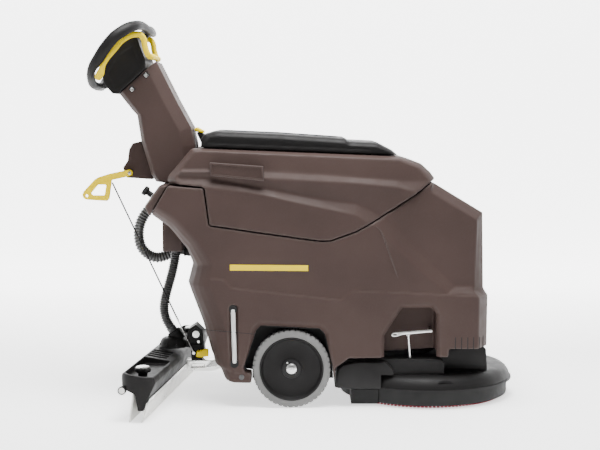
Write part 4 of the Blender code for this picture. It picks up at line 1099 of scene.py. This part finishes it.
def squeegee():
    turn = Matrix.Translation((SQUEEGEE_X, 0, 0)) @ Matrix.Rotation(SQUEEGEE_YAW, 4, "Z")

    def place(obj, look, *replaced, body="squeegee"):
        obj.data.transform(turn)
        return piece(obj, body, look, *replaced)

    section = [
        (-0.055, 0.108), (-0.052, 0.1205), (-0.045, 0.123), (0.02, 0.113), (0.029, 0.109), (0.031, 0.096),
        (0.006, 0.03), (-0.008, 0.03), (-0.016, 0.072), (-0.052, 0.086),
    ]

    def plan(left, right, end, start, corner, low, high):
        """A flat plate from start to end along y with both far corners rounded."""
        points = [(left, start)]
        for centre, first in ((left + corner, 180), (right - corner, 90)):
            for k in range(9):
                angle = radians(first - 90 / 8 * k)
                points.append((centre + corner * cos(angle), end - corner + corner * sin(angle)))
        points.append((right, start))
        return [[(x, y, z) for x, y in points] for z in (low, high)]

    body = prism("squeegee_beam", section, -SQUEEGEE_HALF, SQUEEGEE_HALF)
    for side in (-1, 1):
        ends = plan(-0.056, 0.032, SQUEEGEE_HALF - 0.0004, -0.5, 0.036, 0.0, 0.2)
        trough = plan(-0.047, 0.0225, 0.376, 0.15, 0.03, 0.1034, 0.2)
        if side < 0:
            ends = [[(x, -y, z) for x, y, z in ring] for ring in ends]
            trough = [[(x, -y, z) for x, y, z in ring] for ring in trough]
        carve(body, ("keep", loft("beam_end", ends)), ("cut", loft("beam_trough", trough)))
    ribs = []
    for k in range(11):
        y = -0.125 + 0.025 * k
        if abs(y) > 0.045:
            ribs.append(("cut", block("beam_pocket", (-0.044, y - 0.008, 0.112), (0.01, y + 0.008, 0.13))))
    carve(body, *ribs)
    soften(body, 0.0017, 3, 0.4)
    place(body, "black", "squeegee_body")
    for side, name in ((-1, "right"), (1, "left")):
        y = side * 0.31
        skirt = [
            (0, 0.1045), (0.0118, 0.1045), (0.012, 0.1125), (0.018, 0.1145), (0.0198, 0.1165),
            (0.0198, 0.1245), (0.017, 0.1262), (0, 0.1262),
        ]
        knob = turned(f"knob_grip_{name}", skirt, (-0.012, y, 0), (0, 0, 1), 72, ridges(6, 0.05, 0.0175))
        place(crisp(knob, 50), "black", body=f"knob_{name}")
        top = [(0, 0.126), (0.0166, 0.1262), (0.016, 0.1282), (0.012, 0.1294), (0, 0.1298)]
        bright = turned(f"knob_cap_{name}", top, (-0.012, y, 0), (0, 0, 1), 48)
        place(crisp(bright, 50), "steel", f"squeegee_knob_{name}", body=f"knob_{name}")
        roller = [
            (0, -0.0055), (0.007, -0.0055), (0.0078, -0.0045), (0.0078, 0.0045), (0.007, 0.0055),
            (0, 0.0055)
        ]
        wheel_end = turned(f"wall_roller_{name}", roller, (-0.049, side * 0.3775, 0.08), (0, side, 0), 40)
        place(crisp(wheel_end, 40), "blade")
        ring = [(0.0082, -0.0045), (0.0105, -0.004), (0.0105, 0.004), (0.0082, 0.0045)]
        cup = turned(f"roller_cup_{name}", ring, (-0.049, side * 0.3775, 0.08), (0, side, 0), 40)
        place(crisp(cup, 40), "black")
    rear = [(-0.0178, 0.07), (-0.022, 0.0705), (-0.0318, 0.0004), (-0.0282, 0.0004)]
    front = [(0.0135, 0.05), (0.0172, 0.0488), (0.0031, 0.0014), (-0.0004, 0.0014)]
    for name, outline, node in (
        ("blade_lip_rear", rear, "blade_rear"), ("blade_lip_front", front, "blade_front")
    ):
        lip = prism(name, outline, -0.381, 0.381)
        if node == "blade_front":
            slots = []
            for k in range(24):
                y = -0.345 + 0.03 * k
                slots.append(("cut", block("lip_slot", (-0.02, y - 0.002, -0.01), (0.03, y + 0.002, 0.0085))))
            carve(lip, *slots)
        place(rounded(lip, 0.0005, 2, 30), "blade", node)
    strap = [(-0.0226, 0.069), (-0.024, 0.0692), (-0.0282, 0.042), (-0.0268, 0.0418)]
    plate = prism("strap_rear", strap, -0.372, 0.372)
    place(rounded(plate, 0.0004, 2, 30), "steel")
    strap = [(0.019, 0.06), (0.0204, 0.0595), (0.013, 0.04), (0.0116, 0.0404)]
    plate = prism("strap_front", strap, -0.372, 0.372)
    place(rounded(plate, 0.0004, 2, 30), "steel")
    studs = []
    for k in range(9):
        y = -0.34 + 0.085 * k
        studs.append(rod("strap_nut", (-0.0235, y, 0.056), (-0.0285, y, 0.0568), 0.005, 6))
    place(crisp(merge("strap_nuts", studs), 30), "steel")


def housing_trim():
    # Outlines of a black sheet inside each wheelhouse, which is painted shade
    arch = [(-0.1258, 0.067)] + shrunk(WHEELHOUSE, 0.0006)[1:9] + [(0.088, 0.067)]
    arch_shade_band = shrunk(WHEELHOUSE, 0.0006)[2:9] + shrunk(WHEELHOUSE, 0.003)[2:9][::-1]
    for side, name in ((-1, "right"), (1, "left")):
        stripe = [(-0.181, 0.3605), (0.021, 0.3592), (0.021, 0.374), (-0.181, 0.3758)]
        stripe = sided(f"accent_stripe_{name}", stripe, side, MAIN - 0.001, MAIN + 0.0005)
        piece(stripe, "chassis", "yellow")
        spot = (-0.152, side * 0.2108, 0.081)
        bolt = merge(f"base_bolt_{name}", [
            rod("bolt_washer", spot, (spot[0], side * 0.2122, spot[2]), 0.007, 32),
            rod(
                "bolt_head", (spot[0], side * 0.212, spot[2]), (spot[0], side * 0.2146, spot[2]), 0.0045,
                6, 0.004
            ),
        ])
        piece(crisp(bolt, 30), "chassis", "frame")
        # The grille slots are black strips standing just proud of the side: painted shade for the depth of
        # the slots
        slots = []
        for x, reach in GRILLE:
            slot = [(x - 0.0012, 0.1555), (x + 0.0012, 0.1555), (x + 0.0012, 0.1865), (x - 0.0012, 0.1865)]
            slots.append(sided("grille_slot_shade", slot, side, reach - 0.003, reach))
        seam = [(-0.258, 0.2082), (-0.258, 0.207), (-0.116, 0.1941), (-0.116, 0.1953)]
        slots.append(sided("rear_seam", seam, side, 0.2135, 0.2149))
        piece(merge(f"housing_lines_{name}", slots), "chassis", "black")
        fold, _ = even(smooth_route([(x, side * 0.2104, z) for x, z in FOLD], 6), 0.004)
        last = len(fold) - 1
        bead = sweep(
            f"side_fold_{name}", fold, lambda i: [0.0006 + 0.0022 * min(1, i / 6, (last - i) / 6)] * 2, 12
        )
        piece(crisp(bead, 60), "chassis", "body")
        # The black sheet over the wheelhouse's back wall and arch is painted shade, standing for the shadow
        # inside an arch of the same plastic
        plate = sided("wheelhouse_shade_back", arch, side, 0.1506, 0.153)
        wall = merge(
            f"wheelhouse_shade_sheet_{name}", [plate, sided("wheelhouse_shade_arch", arch_shade_band, side, 0.1506, 0.199)]
        )
        piece(wall, "chassis", "rubber")
    tube = rod("level_column", (-0.1737, -0.21, 0.259), (-0.1698, -0.21, 0.1175), 0.006, 40)
    piece(rounded(tube, 0.003, 4, 40), "chassis", "clear", "level_tube")
    for name, x, z in (("top", -0.1737, 0.26), ("bottom", -0.1698, 0.1165)):
        ring = [
            (0, -0.0045), (0.009, -0.0045), (0.0106, -0.003), (0.0106, 0.003), (0.0094, 0.0042),
            (0, 0.0036)
        ]
        boss = turned(f"gauge_grommet_{name}", ring, (x, -0.2095, z), (0, -1, 0), 48)
        piece(crisp(boss, 40), "chassis", "rubber", f"level_fitting_{name}")


def bay_fittings():
    """Caps, posts and leads on the batteries, seen when the tank is tilted up."""
    caps, posts = [], []
    for start in (-0.187, 0.079):
        for k in range(6):
            x = start + 0.04 + 0.036 * k
            caps.append(rod("cell_cap", (x, 0.03, 0.3895), (x, 0.03, 0.399), 0.011, 24, 0.01))
        for x in (start + 0.022, start + 0.238):
            posts.append(rod("lead_post", (x, -0.055, 0.3895), (x, -0.055, 0.402), 0.008, 24, 0.007))
    piece(crisp(merge("cell_caps", caps), 30), "chassis", "yellow")
    piece(crisp(merge("lead_posts", posts), 30), "chassis", "steel")
    path = [
        (0.051, -0.055, 0.4035), (0.062, -0.06, 0.411), (0.076, -0.062, 0.414), (0.09, -0.06, 0.411),
        (0.101, -0.055, 0.4035)
    ]
    link, _ = even(smooth_route(path, 6), 0.003)
    lead = sweep("battery_link", link, lambda i: (0.0045, 0.0045), 16)
    piece(crisp(lead, 60), "chassis", "rubber")


def camera_and_light():
    data = bpy.data.cameras.new("view_camera")
    data.lens = 77.6
    data.sensor_width = 36.0
    view = bpy.data.objects.new("view_camera", data)
    bpy.context.scene.collection.objects.link(view)
    view.location = (0.0, -3.53, 0.76)
    view.rotation_euler = (radians(90.0 - 4.85), 0.0, 0.0)
    bpy.context.scene.camera = view
    for name, place, aim, size, power in (
        ("softbox_above", (0.1, -0.6, 2.8), (0.0, 0.0, 0.4), 1.5, 200.0),
        ("softbox_left", (-3.2, -1.3, 1.3), (-0.2, 0.0, 0.4), 1.8, 17.0),
        ("softbox_right", (3.2, -1.0, 1.6), (0.2, 0.0, 0.4), 1.8, 15.0),
    ):
        lamp = bpy.data.lights.new(name, "AREA")
        lamp.shape = "SQUARE"
        lamp.size = size
        lamp.energy = power
        obj = bpy.data.objects.new(name, lamp)
        bpy.context.scene.collection.objects.link(obj)
        obj.location = place
        obj.rotation_euler = (Vector(aim) - Vector(place)).to_track_quat("-Z", "Y").to_euler()
    world = bpy.data.worlds.new("studio")
    world.use_nodes = True
    tree = world.node_tree
    place = tree.nodes.new("ShaderNodeTexCoord")
    parts = tree.nodes.new("ShaderNodeSeparateXYZ")
    tree.links.new(place.outputs["Generated"], parts.inputs["Vector"])
    fill = tree.nodes["Background"]
    fill.inputs["Color"].default_value = (1.0, 1.0, 1.0, 1.0)
    tree.links.new(spread(tree, parts.outputs["Z"], 0.07, 0.75, 0.15, 0.9), fill.inputs["Strength"])
    bpy.context.scene.world = world


def studio_floor():
    """A pale sheet that runs back and curves up behind the machine."""
    profile = [(-FLOOR_REACH, 0.0), (FLOOR_BACK, 0.0)]
    profile += [
        (FLOOR_BACK + FLOOR_CURVE * sin(pi * k / 24), FLOOR_CURVE - FLOOR_CURVE * cos(pi * k / 24))
        for k in range(1, 13)
    ]
    profile.append((FLOOR_BACK + FLOOR_CURVE, FLOOR_TOP))
    bm = bmesh.new()
    rows = [[bm.verts.new((x, y, z - 0.0005)) for y, z in profile] for x in (-FLOOR_REACH, FLOOR_REACH)]
    for a, b, c, d in zip(rows[0], rows[0][1:], rows[1][1:], rows[1]):
        bm.faces.new((a, b, c, d))
    floor = solid("studio_floor", to_mesh(bm, "studio_floor"))
    floor.data.shade_smooth()
    made, tree, shader = new_material("pale_sheet", Roughness=0.9)
    tint = ramp(tree, noise(tree, 0.6, 1.0), (0.3, (0.86, 0.86, 0.86)), (0.7, (0.89, 0.89, 0.89)))
    tree.links.new(tint, shader.inputs["Base Color"])
    place = tree.nodes.new("ShaderNodeTexCoord")
    parts = tree.nodes.new("ShaderNodeSeparateXYZ")
    tree.links.new(place.outputs["Object"], parts.inputs["Vector"])
    near = spread(tree, parts.outputs["Y"], 0.25, 1.3, -2.0, -0.72)
    far = spread(tree, parts.outputs["Y"], 0.0, 2.6, 0.6, 2.2)
    glow = tree.nodes.new("ShaderNodeMath")
    tree.links.new(near, glow.inputs[0])
    tree.links.new(far, glow.inputs[1])
    tree.links.new(glow.outputs["Value"], shader.inputs["Emission Strength"])
    shader.inputs["Emission Color"].default_value = (1.0, 1.0, 1.0, 1.0)
    floor.data.materials.append(made)


def hose(name, route, radius, pitch, node):
    """A corrugated hose with its two smooth ends."""
    path, length = even(smooth_route(route, 8), pitch / 5)
    last = len(path) - 1
    plain = 8

    def section(i):
        if min(i, last - i) < plain:
            return radius - 0.001, radius - 0.001
        wave = 0.5 + 0.5 * cos(2 * pi * i / 5)
        size = radius - 0.0002 - 0.0031 * (1 - wave)
        return size, size

    obj = sweep(name, path, section, 24, up=(0, 1, 0))
    crisp(obj, 60)
    piece(obj, "chassis", "hose", node, slot="rubber")
    return obj


def carried_over():
    """CAD nodes whose shape is right get their finished material."""
    looks = {entry["node"]: entry["material_slot"] for entry in frame["record"]["subparts"]}
    for name, obj in frame["nodes"].items():
        if obj.hide_render:
            continue
        obj.data.materials.clear()
        obj.data.materials.append(LOOKS[looks[name]])
        crisp(obj, 30)


camera_and_light()
studio_floor()
hose("drain_hose_ribbed", DRAIN_ROUTE, DRAIN_RADIUS, DRAIN_PITCH, "drain_hose")
suction = hose("suction_hose_ribbed", SUCTION_ROUTE, SUCTION_RADIUS, SUCTION_PITCH, "suction_hose")
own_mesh(suction)
housing()
housing_trim()
bay_fittings()
collar()
tank()
lid()
column()
console()
handle()
lift_lever()
dosing_knob()
wheel(-1, "right")
wheel(1, "left")
brush_head()
head_lift()
arm()
squeegee()
carried_over()
